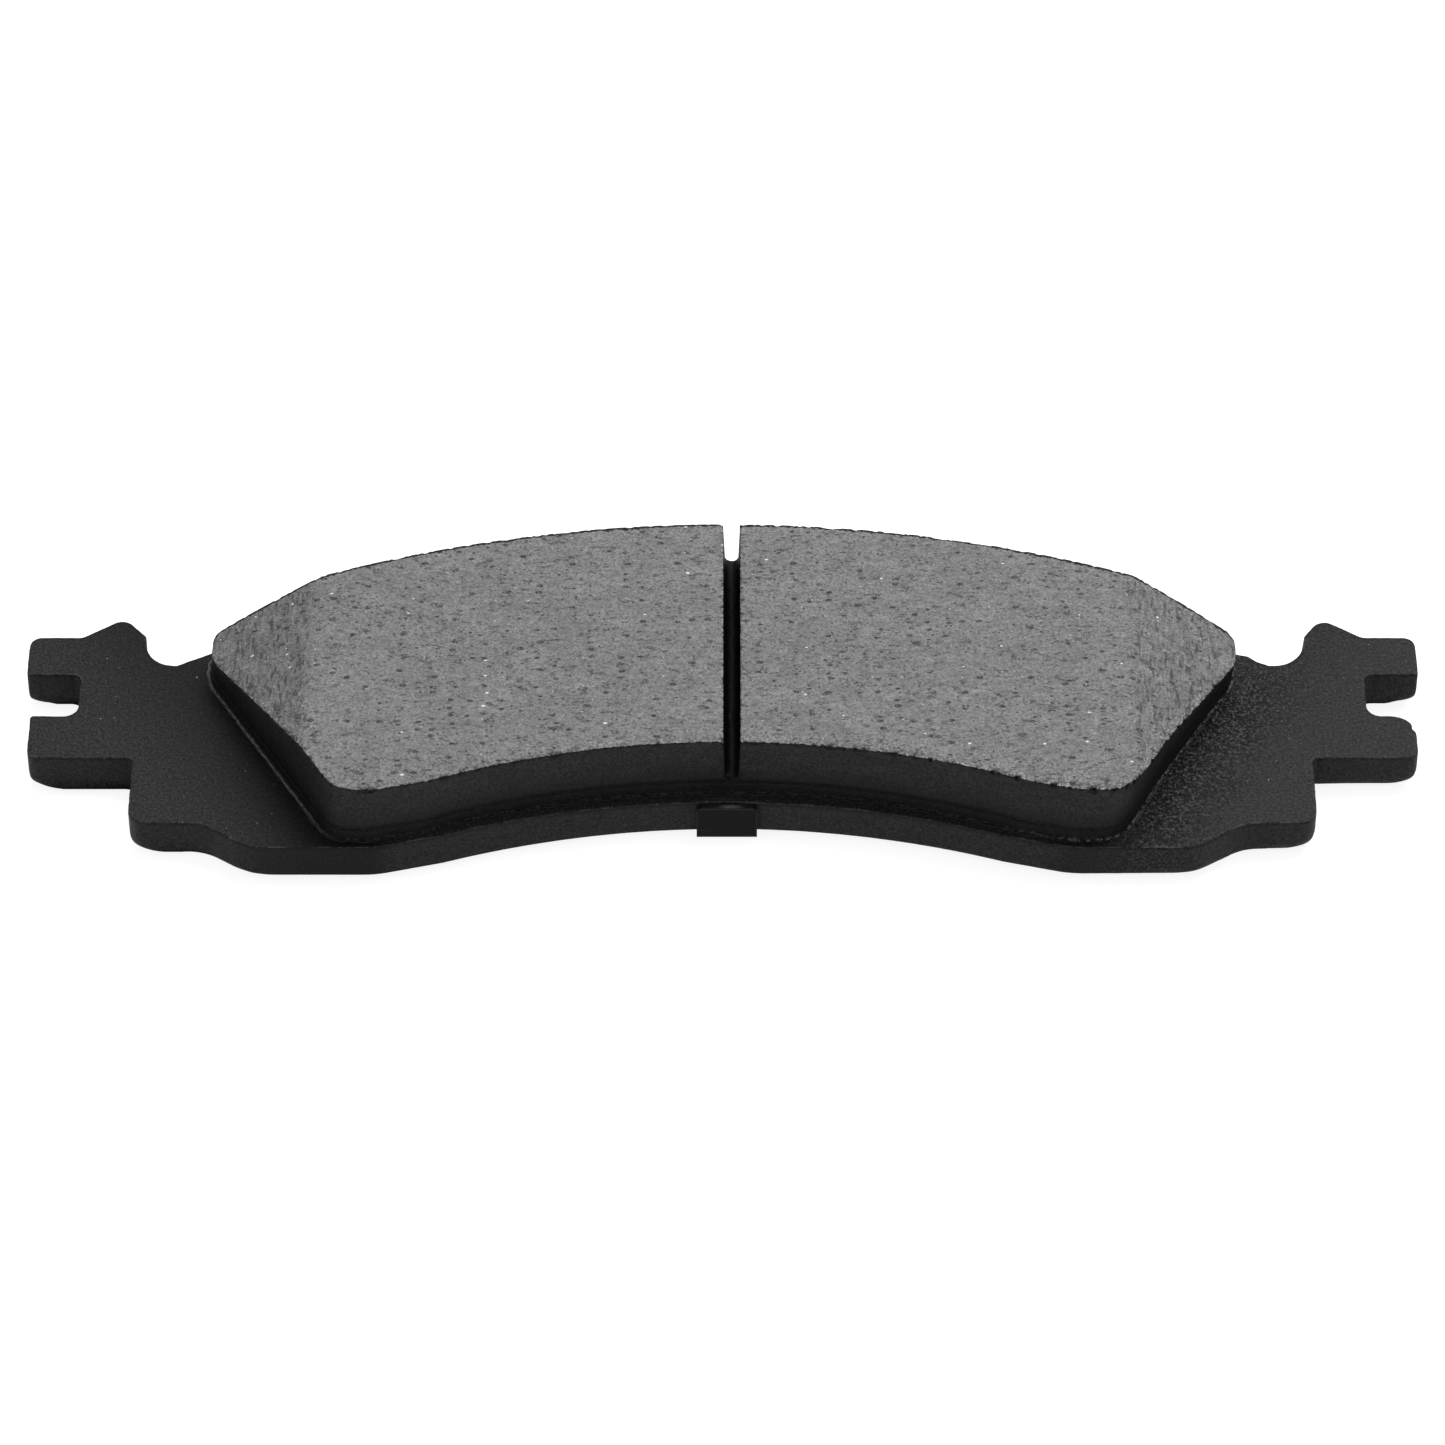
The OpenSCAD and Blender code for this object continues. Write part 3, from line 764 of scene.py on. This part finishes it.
def bump(tree, shader, height, distance, strength=1.0):
    """Feeds a height to the shader's normal through a Bump node."""
    node = add(tree, "ShaderNodeBump", {"Height": height, "Distance": distance, "Strength": strength})
    connect(tree, shader, {"Normal": node.outputs[0]})


def attribute(tree, name):
    """A point attribute's value."""
    return add(tree, "ShaderNodeAttribute", attribute_name=name).outputs["Fac"]


def friction_material(look, specks):
    """Rubbed friction compound: grey binder with dark pits, grains, fibres and painted glints of brass
    grains.

    Streaks run along the pad on the face and across it on the two chamfers.  Off the face the
    block keeps its dark moulded skin, with painted shade towards the plate and in the groove.
    """
    material, tree, shader, place = new_material("Friction compound")
    x = add(tree, "ShaderNodeSeparateXYZ", {0: place}).outputs[0]
    far_out = ramp(tree, math_node(tree, "ABSOLUTE", x), 0.0565, 0.0585)
    along = stretched(tree, place, (0.28, 1.0, 1.0))
    across = stretched(tree, place, (1.0, 0.25, 0.25))
    streak_along = noise(tree, along, 1900.0, 3.0, 0.65)
    streak_across = noise(tree, across, 1900.0, 3.0, 0.65)
    streak = add(tree, "ShaderNodeMix", {0: far_out, 2: streak_along, 3: streak_across}).outputs[0]
    blotch = noise(tree, stretched(tree, place, (0.6, 1.0, 1.0)), 260.0, 3.0, 0.6)
    sand = noise(tree, place, 3000.0, 3.0, 0.75)
    deep_streak = math_node(tree, "MULTIPLY_ADD", far_out, 0.26, 0.20)
    swing = math_node(tree, "SUBTRACT", streak, 0.5)
    tone = math_node(tree, "MULTIPLY_ADD", swing, times(tree, deep_streak, 4.0), 1.0)
    tone = times(tree, tone, ramp(tree, blotch, 0.3, 0.7, 0.93, 1.07))
    tone = times(tree, tone, ramp(tree, sand, 0.28, 0.72, 0.60, 1.40))
    # both chamfers darker: the -X one by up to 22 %, the +X one by 10 %
    left_chamfer_darkening = math_node(tree, "SUBTRACT", 1.0, ramp(tree, x, -0.0565, -0.0600, 0.0, 0.22))
    tone = times(tree, tone, left_chamfer_darkening)
    tone = times(tree, tone, ramp(tree, x, 0.0560, 0.0580, 1.0, 0.90))
    colour = shaded(tree, tuple(look.face_colour) + (1.0,), tone)
    flecks = ramp(tree, noise(tree, stretched(tree, place, (0.55, 1.0, 1.0)), 1250.0, 3.0, 0.7), 0.585, 0.66)
    pits = group_node(tree, specks, Vector=stretched(tree, place, (0.6, 1.0, 1.0)),
                      Cells_per_metre=700.0, Share=0.36, Radius=0.30).outputs[0]
    dots = group_node(tree, specks, Vector=place, Cells_per_metre=1500.0, Share=0.10, Radius=0.34).outputs[0]
    ragged = ramp(tree, noise(tree, place, 3600.0, 2.0, 0.7), 0.36, 0.56)
    dark = math_node(tree, "MAXIMUM", times(tree, pits, ragged), times(tree, flecks, 0.6))
    dark = math_node(tree, "MAXIMUM", dark, times(tree, dots, 0.8))
    scores = ramp(tree, noise(tree, stretched(tree, place, (1.0, 0.22, 0.22)), 1500.0, 2.0, 0.6), 0.58, 0.66)
    dark = math_node(tree, "MAXIMUM", dark, times(tree, scores, times(tree, far_out, 0.7)))
    colour = covered(tree, colour, dark, 0.86, 0.03)
    # painted glints: bright specks standing in for light caught by brass grains
    glint = group_node(tree, specks, Vector=stretched(tree, place, (0.6, 1.0, 1.0)),
                       Cells_per_metre=300.0, Share=0.17, Radius=0.065).outputs[0]
    spark = group_node(tree, specks, Vector=place, Cells_per_metre=720.0, Share=0.055, Radius=0.13).outputs[0]
    glint = math_node(tree, "MAXIMUM", glint, times(tree, spark, 0.45))
    colour = covered(tree, colour, glint, 0.9, 0.8)
    # the crumbled rim shows fresh, lighter grains
    crumb = attribute(tree, "crumb")
    grains = ramp(tree, noise(tree, place, 3000.0, 2.0, 0.7), 0.47, 0.60)
    fresh = times(tree, crumb, grains)
    colour = covered(tree, colour, fresh, 0.7, 0.42)
    chips = group_node(tree, specks, Vector=place, Cells_per_metre=1300.0, Share=0.16, Radius=0.34).outputs[0]
    colour = covered(tree, colour, times(tree, chips, crumb), 0.9, 0.60)
    stale = times(tree, crumb, ramp(tree, noise(tree, place, 1900.0, 2.0, 0.7), 0.55, 0.42))
    colour = covered(tree, colour, stale, 0.7, 0.03)
    # moulded skin on the walls and in the groove, with painted shade towards the plate and inside the groove
    skin = noise(tree, stretched(tree, place, (1.0, 1.0, 2.0)), 260.0, 4.0, 0.6)
    wall = mix_colour(tree, ramp(tree, skin, 0.35, 0.7), scaled(look.wall_colour, 0.85),
                      scaled(look.wall_colour, 1.2))
    speckle = ramp(tree, noise(tree, place, 2600.0, 3.0, 0.75), 0.30, 0.70, 0.10, 1.90)
    lines = noise(tree, stretched(tree, place, (0.06, 0.06, 1.0)), 2200.0, 2.0, 0.6)
    lines = ramp(tree, lines, 0.3, 0.7, 0.85, 1.15)
    speckle = times(tree, speckle, lines)
    wall = shaded(tree, wall, speckle)
    # painted shade: the walls darker towards the plate and inside the groove
    height_above = add(tree, "ShaderNodeSeparateXYZ", {0: place}).outputs[2]
    painted_wall_shade = ramp(tree, height_above, 0.0080, 0.0140, 0.40, 1.0)   # darker towards the plate
    from_groove = math_node(tree, "ABSOLUTE", math_node(tree, "SUBTRACT", x, GROOVE_X * MM))
    painted_wall_shade = times(tree, painted_wall_shade, ramp(tree, from_groove, 0.00118, 0.0013, 0.2, 1.0))
    wall = shaded(tree, wall, painted_wall_shade)
    ragged_border = noise(tree, place, 1900.0, 3.0, 0.75)
    border = math_node(tree, "MULTIPLY_ADD", ragged_border, 1.6, attribute(tree, "rubbed"))
    on_face = ramp(tree, border, 1.26, 1.42)
    connect(tree, shader, {"Base Color": mix_colour(tree, on_face, wall, colour)})
    rough = math_node(tree, "MULTIPLY_ADD", glint, -0.45, 0.86)
    connect(tree, shader, {
        "Roughness": add(tree, "ShaderNodeMix", {0: on_face, 2: 0.62, 3: rough}).outputs[0],
        "Specular IOR Level": 0.15})
    relief = math_node(tree, "MULTIPLY_ADD", dark, -1.4, times(tree, sand, 0.8))
    relief = math_node(tree, "MULTIPLY_ADD", streak, 0.5, relief)
    skin_relief = times(tree, noise(tree, place, 1500.0, 2.0, 0.6), 0.25)
    height = add(tree, "ShaderNodeMix", {0: on_face, 2: skin_relief, 3: relief}).outputs[0]
    bump(tree, shader, height, 0.00010, 0.8)
    return material


def underlayer_material(look, skin_group):
    """Dark moulded underlayer, partly painted shade at the lining's foot, with a painted highlight in grey
    specks along the top of its flash lip.
    """
    material, tree, shader, place = new_material("Moulded underlayer")
    skin = group_node(tree, skin_group, Vector=place, Coarse=0.4)
    # the underlayer's dark tone: partly its own, partly painted shade at the lining's foot
    base = mix_colour(tree, skin.outputs["Mottle"], scaled(look.wall_colour, 0.25),
                      scaled(look.wall_colour, 0.50))
    # painted highlight on the flash lip's top: grey specks, strongest at +X, and an even line at the -X end
    lip = attribute(tree, "lip")
    lip_highlight_specks = ramp(tree, noise(tree, place, 2000.0, 2.0, 0.7), 0.45, 0.60)
    x = add(tree, "ShaderNodeSeparateXYZ", {0: place}).outputs[0]
    even = ramp(tree, noise(tree, place, 2200.0, 3.0, 0.75), 0.35, 0.62, 0.25, 1.0)
    even = times(tree, even, ramp(tree, x, -0.052, -0.060))
    at_right = ramp(tree, x, 0.036, 0.058, 0.16, 0.9)
    lip_highlight_specks = times(tree, lip_highlight_specks, at_right)
    light = times(tree, lip, math_node(tree, "MAXIMUM", lip_highlight_specks, even))
    connect(tree, shader, {
        "Base Color": mix_colour(tree, times(tree, light, 0.85), base, grey(0.19)),
        "Roughness": 0.6,
        "Specular IOR Level": 0.15})
    bump(tree, shader, skin.outputs["Height"], 0.00006, 0.7)
    return material


def film_material():
    """Cured adhesive: brown and glossy, with small bubbles at its edge."""
    material, tree, shader, place = new_material("Cured bond film")
    cloud = noise(tree, place, 400.0, 3.0, 0.6)
    connect(tree, shader, {
        "Base Color": mix_colour(
            tree, ramp(tree, cloud, 0.35, 0.65), grey(0.010), (0.030, 0.026, 0.022, 1.0)),
        "Roughness": 0.45})
    bump(tree, shader, noise(tree, place, 2000.0, 2.0, 0.5), 0.00005, 0.6)
    return material


def paint_material(look, specks, skin_group):
    """Satin black paint on the plate: fine specks, dust, thin paint with a painted highlight and painted
    shadow along the edges, painted shade on the walls, beside both ends of the lining and in the hollows of a
    coarse, sandy zone.

    The coarse zone is a band beside the lining's +X end; its mask falls off with the distance
    from that slanted end.
    """
    material, tree, shader, place = new_material("Satin black paint")
    split = add(tree, "ShaderNodeSeparateXYZ", {0: place})
    x, y, z = split.outputs[0], split.outputs[1], split.outputs[2]
    # distance beyond the line of the lining's slanted end, in metres
    slope = times(tree, x, math.cos(END_LEAN))
    away = math_node(tree, "MULTIPLY_ADD", y, -math.sin(END_LEAN), slope)
    away = math_node(tree, "SUBTRACT", away, END_REACH)
    drift = math_node(tree, "MULTIPLY_ADD", noise(tree, place, 140.0, 3.0, 0.6), 0.010, away)
    coarse = times(tree, ramp(tree, drift, 0.021, 0.005), ramp(tree, x, 0.050, 0.062))
    coarse = times(tree, coarse, ramp(tree, y, 0.013, -0.004, 0.35, 1.0))
    skin = group_node(tree, skin_group, Vector=place, Coarse=coarse)
    mottle = skin.outputs["Mottle"]
    deep = scaled(look.paint_colour, 0.95)
    pale = scaled(look.paint_colour, 1.05)
    colour = mix_colour(tree, ramp(tree, mottle, 0.3, 0.7), deep, pale)
    fine = ramp(tree, noise(tree, place, 2600.0, 3.0, 0.75), 0.30, 0.70, 0.30, 1.70)
    colour = shaded(tree, colour, fine)
    speck = ramp(tree, noise(tree, place, 2600.0, 2.0, 0.7), 0.62, 0.78)
    colour = covered(tree, colour, speck, 0.3, 0.12)
    # painted shade: darker close to both ends of the lining, in the lining's shadow
    left_away = math_node(tree, "MULTIPLY_ADD", x, -math.cos(END_LEAN), times(tree, y, -math.sin(END_LEAN)))
    left_away = math_node(tree, "SUBTRACT", left_away, END_REACH)
    left_painted_shade = math_node(
        tree, "MAXIMUM", ramp(tree, left_away, 0.0, 0.020, 0.40, 1.0), ramp(tree, x, -0.052, -0.044))
    right_painted_shade = math_node(
        tree, "MAXIMUM", ramp(tree, away, 0.0, 0.018, 0.62, 1.0), ramp(tree, x, 0.052, 0.044))
    painted_end_shade = times(tree, left_painted_shade, right_painted_shade)
    colour = shaded(tree, colour, painted_end_shade)
    sandy = ramp(tree, noise(tree, place, 2500.0, 2.0, 0.7), 0.49, 0.60)
    colour = covered(tree, colour, times(tree, sandy, coarse), 0.85, 0.10)
    # painted shade in the hollows of the coarse zone, nearly black
    hollow = ramp(tree, noise(tree, place, 2100.0, 2.0, 0.7), 0.51, 0.44)
    colour = covered(tree, colour, times(tree, hollow, coarse), 0.95, 0.002)
    on_top = ramp(tree, z, (PLATE_TOP_Z - 0.5) * MM, (PLATE_TOP_Z - 0.1) * MM)
    dust = group_node(tree, specks, Vector=place, Cells_per_metre=160.0, Share=0.20, Radius=0.026).outputs[0]
    lint = group_node(tree, specks, Vector=place, Cells_per_metre=480.0, Share=0.11, Radius=0.075).outputs[0]
    dust = math_node(tree, "MAXIMUM", dust, times(tree, lint, 0.35))
    colour = covered(tree, colour, dust, on_top, 0.30)
    # thin paint with a painted highlight along the sharp edge, and painted shadow beside it
    edge = attribute(tree, "edge")
    broken = ramp(tree, noise(tree, place, 420.0, 4.0, 0.7), 0.46, 0.64)
    thin = times(tree, math_node(tree, "MAXIMUM", edge, 0.0), broken)
    colour = covered(tree, colour, thin, look.edge_wear_and_highlight, 0.16)
    shadow = times(tree, math_node(tree, "MINIMUM", edge, 0.0), -0.75)
    patchy = ramp(tree, noise(tree, place, 700.0, 3.0, 0.65), 0.32, 0.5, 0.35, 1.0)
    colour = covered(tree, colour, shadow, patchy, 0.004)
    # painted shade: the stamped walls darker than the flat top
    top = math_node(tree, "MULTIPLY_ADD", on_top, 0.38, 0.62)
    colour = shaded(tree, colour, top)
    connect(tree, shader, {"Base Color": colour})
    rough = math_node(tree, "MULTIPLY_ADD", mottle, 0.18, 0.46)
    connect(tree, shader, {
        "Roughness": rough,
        "Specular IOR Level": 0.09})
    bump(tree, shader, skin.outputs["Height"], 0.00004, 0.8)
    return material


def rubber_material(look):
    """Matt rubber coat of the shim: fine calendered grain with faint scuffs."""
    material, tree, shader, place = new_material("Shim rubber coat")
    cloud = noise(tree, place, 160.0, 4.0, 0.6)
    deep = scaled(look.rubber_colour, 0.8)
    pale = scaled(look.rubber_colour, 1.3)
    colour = mix_colour(tree, ramp(tree, cloud, 0.3, 0.7), deep, pale)
    scuff = noise(tree, stretched(tree, place, (0.12, 1.0, 1.0)), 700.0, 3.0, 0.6)
    colour = covered(tree, colour, ramp(tree, scuff, 0.6, 0.75), 0.2, 0.07)
    # the near tab's top and sides lighter: partly a rubbed coat, partly a painted highlight
    split = add(tree, "ShaderNodeSeparateXYZ", {0: place})
    across = math_node(tree, "ABSOLUTE", math_node(tree, "SUBTRACT", split.outputs[0], TAB_X * MM))
    side = times(tree, ramp(tree, across, (TAB_W / 2 - 0.2) * MM, (TAB_W / 2 - 0.08) * MM),
                     ramp(tree, split.outputs[2], 1.5 * MM, 2.5 * MM))
    top = ramp(tree, split.outputs[2], (TAB_TOP_Z - 0.28) * MM, (TAB_TOP_Z - 0.12) * MM)
    rubbed = math_node(tree, "MAXIMUM", side, top)
    colour = covered(tree, colour, rubbed, 0.7, 0.030)
    connect(tree, shader, {
        "Base Color": colour,
        "Roughness": ramp(tree, cloud, 0.3, 0.7, 0.55, 0.72),
        "Specular IOR Level": 0.05})
    bump(tree, shader, noise(tree, place, 3500.0, 2.0, 0.6), 0.00003, 0.7)
    return material


def steel_material():
    """Blackened cold-rolled steel of the shim's core, with fine rolling lines along the pad."""
    material, tree, shader, place = new_material("Rolled shim steel")
    lines = noise(tree, stretched(tree, place, (0.05, 1.0, 1.0)), 4000.0, 3.0, 0.6)
    connect(tree, shader, {
        "Base Color": mix_colour(tree, ramp(tree, lines, 0.3, 0.7), grey(0.035), grey(0.07)),
        "Metallic": 1.0,
        "Roughness": ramp(tree, lines, 0.3, 0.7, 0.35, 0.5)})
    bump(tree, shader, lines, 0.00001, 0.5)
    return material


def adhesive_material():
    """Pressure-sensitive adhesive: amber and slightly cloudy."""
    material, tree, shader, place = new_material("Shim adhesive")
    cloud = noise(tree, place, 300.0, 3.0, 0.6)
    connect(tree, shader, {
        "Base Color": mix_colour(tree, cloud, (0.20, 0.14, 0.06, 1.0), (0.34, 0.27, 0.15, 1.0)),
        "Roughness": 0.4})
    bump(tree, shader, cloud, 0.00003, 0.5)
    return material


def floor_material(look):
    """Pale matt studio sweep."""
    material, tree, shader, place = new_material("Pale sweep")
    tone = ramp(tree, noise(tree, place, 3.0, 2.0, 0.5), 0.3, 0.7, 0.985, 1.0)
    connect(tree, shader, {
        "Base Color": shaded(tree, tuple(look.floor_colour) + (1.0,), tone),
        "Roughness": 0.9,
        "Specular IOR Level": 0.1,
        "Emission Color": (1, 1, 1, 1),
        "Emission Strength": look.floor_glow})
    return material


SHARED = {}


def shared(name, build):
    """A shader group that is built once."""
    if name not in SHARED:
        SHARED[name] = build()
    return SHARED[name]


def settle(piece, material, slot, *nodes):
    """Gives a new piece its material and its body, and hides the CAD nodes it stands for. The slot is not
    used.
    """
    piece.data.materials.append(material)
    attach(piece, BODY)
    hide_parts(*nodes)


def dress(node, material):
    """Gives a CAD node a material in all of its slots."""
    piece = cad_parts[node]
    for slot in piece.material_slots:
        slot.material = material
    if not piece.material_slots:
        piece.data.materials.append(material)


# ---- Settings ----

class LiningLook(bpy.types.PropertyGroup):
    """Sizes and colours of the friction block, the underlayer and the bond film."""
    chamfer_left: bpy.props.FloatProperty(
        name="-X chamfer", description="Distance from the middle to the -X chamfer",
        default=0.0580, unit="LENGTH")
    chamfer_right: bpy.props.FloatProperty(
        name="+X chamfer", description="Distance from the middle to the +X chamfer",
        default=0.0567, unit="LENGTH")
    chamfer_angle: bpy.props.FloatProperty(
        name="Chamfer slope", description="Slope of both chamfers",
        default=math.radians(20.5), unit="ROTATION")
    lean: bpy.props.FloatProperty(
        name="Lean", description="How far the lining leans towards +X over 10 mm",
        default=0.0011, unit="LENGTH")
    rim_wear: bpy.props.FloatProperty(
        name="Rim wear", description="Depth of the crumbling along the rims", default=0.00018, unit="LENGTH")
    pit_depth: bpy.props.FloatProperty(
        name="Pit depth", description="Depth of the pits in the face", default=0.00012, unit="LENGTH")
    flash: bpy.props.FloatProperty(
        name="Flash", description="Width and height of the moulding flash", default=0.0004, unit="LENGTH")
    face_colour: bpy.props.FloatVectorProperty(
        name="Face", description="Mean colour of the rubbed face",
        default=(0.200, 0.200, 0.202), subtype="COLOR")
    wall_colour: bpy.props.FloatVectorProperty(
        name="Skin", description="Colour of the moulded walls",
        default=(0.0115, 0.0115, 0.0117), subtype="COLOR")


class PlateLook(bpy.types.PropertyGroup):
    """Sizes and colours of the backing plate."""
    die_roll: bpy.props.FloatProperty(
        name="Die roll", description="Rounding of the stamped edge at the shim side",
        default=0.0005, unit="LENGTH")
    edge_break: bpy.props.FloatProperty(
        name="Edge break", description="Rounding of the edge at the lining side",
        default=0.00018, unit="LENGTH")
    # also sets the strength of the painted highlight along the plate's sharp edge
    edge_wear_and_highlight: bpy.props.FloatProperty(
        name="Edge wear", description="How far the paint thins over the sharp edge",
        default=0.45, min=0, max=1)
    paint_colour: bpy.props.FloatVectorProperty(
        name="Paint", description="Colour of the paint", default=(0.0238, 0.0238, 0.0240), subtype="COLOR")


class ShimLook(bpy.types.PropertyGroup):
    """Colours of the shim."""
    rubber_colour: bpy.props.FloatVectorProperty(
        name="Rubber", description="Colour of the rubber coats",
        default=(0.0075, 0.0075, 0.0076), subtype="COLOR")


class StageLook(bpy.types.PropertyGroup):
    """Floor, lights and camera."""
    floor_colour: bpy.props.FloatVectorProperty(
        name="Floor", description="Colour of the floor", default=(0.45, 0.45, 0.45), subtype="COLOR")
    floor_glow: bpy.props.FloatProperty(
        name="Floor glow", description="Light given off by the floor", default=0.86)
    sky: bpy.props.FloatProperty(name="Sky", description="Strength of the even light", default=0.40)
    key: bpy.props.FloatProperty(
        name="Key light", description="Power of the large lamp overhead",
        default=16.0, unit="POWER")
    camera_elevation: bpy.props.FloatProperty(
        name="Camera height", description="Angle of the camera above the floor",
        default=math.radians(45), unit="ROTATION")
    camera_distance: bpy.props.FloatProperty(
        name="Camera distance", description="Distance from the camera to the pad", default=1.0, unit="LENGTH")
    lens: bpy.props.FloatProperty(name="Lens", description="Focal length in mm", default=175.9)


# ---- Operators ----

class PAD_OT_friction_block(bpy.types.Operator):
    """Build the friction block with its chamfers, groove, pits and crumbled rim"""
    bl_idname = "pad.friction_block"
    bl_label = "Friction block"

    def execute(self, context):
        look = context.scene.pad_lining
        points, quads, triangles, rubbed, crumb = friction_shape(look)
        piece = make_mesh("moulded_friction_block", points, quads, triangles, rubbed=rubbed, crumb=crumb)
        settle(piece, friction_material(look, shared("specks", build_specks)), "friction", "friction_block")
        return {"FINISHED"}


class PAD_OT_underlayer(bpy.types.Operator):
    """Build the underlayer with its flash lip and plugs, and the bond film under it"""
    bl_idname = "pad.underlayer"
    bl_label = "Underlayer and bond film"

    def execute(self, context):
        look = context.scene.pad_lining
        points, quads, triangles, lip = underlayer_shape(look)
        piece = make_mesh("moulded_underlayer", points, quads, triangles, lip=lip)
        material = underlayer_material(look, shared("skin", build_paint_skin))
        settle(piece, material, "underlayer", "underlayer")
        points, quads, triangles = film_shape(look)
        piece = make_mesh("squeezed_bond_film", points, quads, triangles)
        settle(piece, film_material(), "adhesive", "bond_film")
        return {"FINISHED"}


class PAD_OT_backing_plate(bpy.types.Operator):
    """Build the stamped backing plate with its rolled edge and key holes"""
    bl_idname = "pad.backing_plate"
    bl_label = "Backing plate"

    def execute(self, context):
        look = context.scene.pad_plate
        points, quads, triangles, edge = plate_shape(look)
        piece = make_mesh("stamped_backing_plate", points, quads, triangles, edge=edge)
        material = paint_material(look, shared("specks", build_specks), shared("skin", build_paint_skin))
        settle(piece, material, "plate_paint", "backing_plate")
        return {"FINISHED"}


class PAD_OT_shim(bpy.types.Operator):
    """Finish the shim's rubber coats, steel core and adhesive"""
    bl_idname = "pad.shim"
    bl_label = "Shim"

    def execute(self, context):
        look = context.scene.pad_shim
        rubber = rubber_material(look)
        dress("shim_outer_rubber", rubber)
        dress("shim_inner_rubber", rubber)
        dress("shim_steel_core", steel_material())
        dress("shim_adhesive", adhesive_material())
        return {"FINISHED"}


class PAD_OT_stage(bpy.types.Operator):
    """Set up the pale floor, the soft lights and the camera"""
    bl_idname = "pad.stage"
    bl_label = "Stage"

    def execute(self, context):
        scene = context.scene
        look = scene.pad_stage
        u = np.linspace(-1, 1, 9) * 3000
        grid_x, grid_y = np.meshgrid(u, u)
        points = np.stack([grid_x, grid_y, np.full_like(grid_x, -0.02)], -1).reshape(-1, 3)
        floor = make_mesh("floor", points, sheet_quads(9, 9), np.zeros((0, 3), int))
        floor.data.materials.append(floor_material(look))
        world = bpy.data.worlds.new("Studio")
        world.use_nodes = True
        world.node_tree.nodes["Background"].inputs["Color"].default_value = (1, 1, 1, 1)
        world.node_tree.nodes["Background"].inputs["Strength"].default_value = look.sky
        scene.world = world
        self.lamp("Back softbox", (0.30, 0.60, 1.05), (0, 0, 0), 1.0, look.key)
        camera = bpy.data.objects.new("Camera", bpy.data.cameras.new("Camera"))
        scene.collection.objects.link(camera)
        aim = Vector((0, 0.0032, 0))
        e = look.camera_elevation
        back = Vector((0, -math.cos(e), math.sin(e)))
        camera.location = aim + back * look.camera_distance
        camera.rotation_euler = (-back).to_track_quat("-Z", "Y").to_euler()
        camera.data.sensor_width = 36
        camera.data.lens = look.lens
        camera.data.clip_start = 0.05
        scene.camera = camera
        scene.view_settings.view_transform = "Standard"
        return {"FINISHED"}

    def lamp(self, name, place, aim, size, power):
        """A square area light at a place, turned towards a point."""
        data = bpy.data.lights.new(name, "AREA")
        data.size = size
        data.energy = power
        light = bpy.data.objects.new(name, data)
        bpy.context.scene.collection.objects.link(light)
        light.location = place
        light.rotation_euler = (Vector(aim) - Vector(place)).to_track_quat("-Z", "Y").to_euler()


class PAD_PT_panel(bpy.types.Panel):
    """Sizes, colours and build steps of the brake pad"""
    bl_idname = "PAD_PT_panel"
    bl_label = "Brake pad"
    bl_space_type = "VIEW_3D"
    bl_region_type = "UI"
    bl_category = "Brake pad"

    def draw(self, context):
        for settings, operators in STEPS:
            box = self.layout.box()
            group = getattr(context.scene, settings)
            for key in group.__annotations__:
                box.prop(group, key)
            for operator in operators:
                box.operator(operator.bl_idname)


STEPS = (
    ("pad_lining", (PAD_OT_friction_block, PAD_OT_underlayer)),
    ("pad_plate", (PAD_OT_backing_plate,)),
    ("pad_shim", (PAD_OT_shim,)),
    ("pad_stage", (PAD_OT_stage,)),
)
SETTINGS = {"pad_lining": LiningLook, "pad_plate": PlateLook, "pad_shim": ShimLook, "pad_stage": StageLook}
CLASSES = (*SETTINGS.values(), PAD_OT_friction_block, PAD_OT_underlayer, PAD_OT_backing_plate,
           PAD_OT_shim, PAD_OT_stage, PAD_PT_panel)


def register():
    for cls in CLASSES:
        bpy.utils.register_class(cls)
    for name, cls in SETTINGS.items():
        setattr(bpy.types.Scene, name, bpy.props.PointerProperty(type=cls))


def unregister():
    for name in SETTINGS:
        delattr(bpy.types.Scene, name)
    for cls in reversed(CLASSES):
        bpy.utils.unregister_class(cls)


def main():
    """Builds every piece and the stage."""
    register()
    bpy.ops.pad.friction_block()
    bpy.ops.pad.underlayer()
    bpy.ops.pad.backing_plate()
    bpy.ops.pad.shim()
    bpy.ops.pad.stage()


if __name__ == "__main__":
    main()
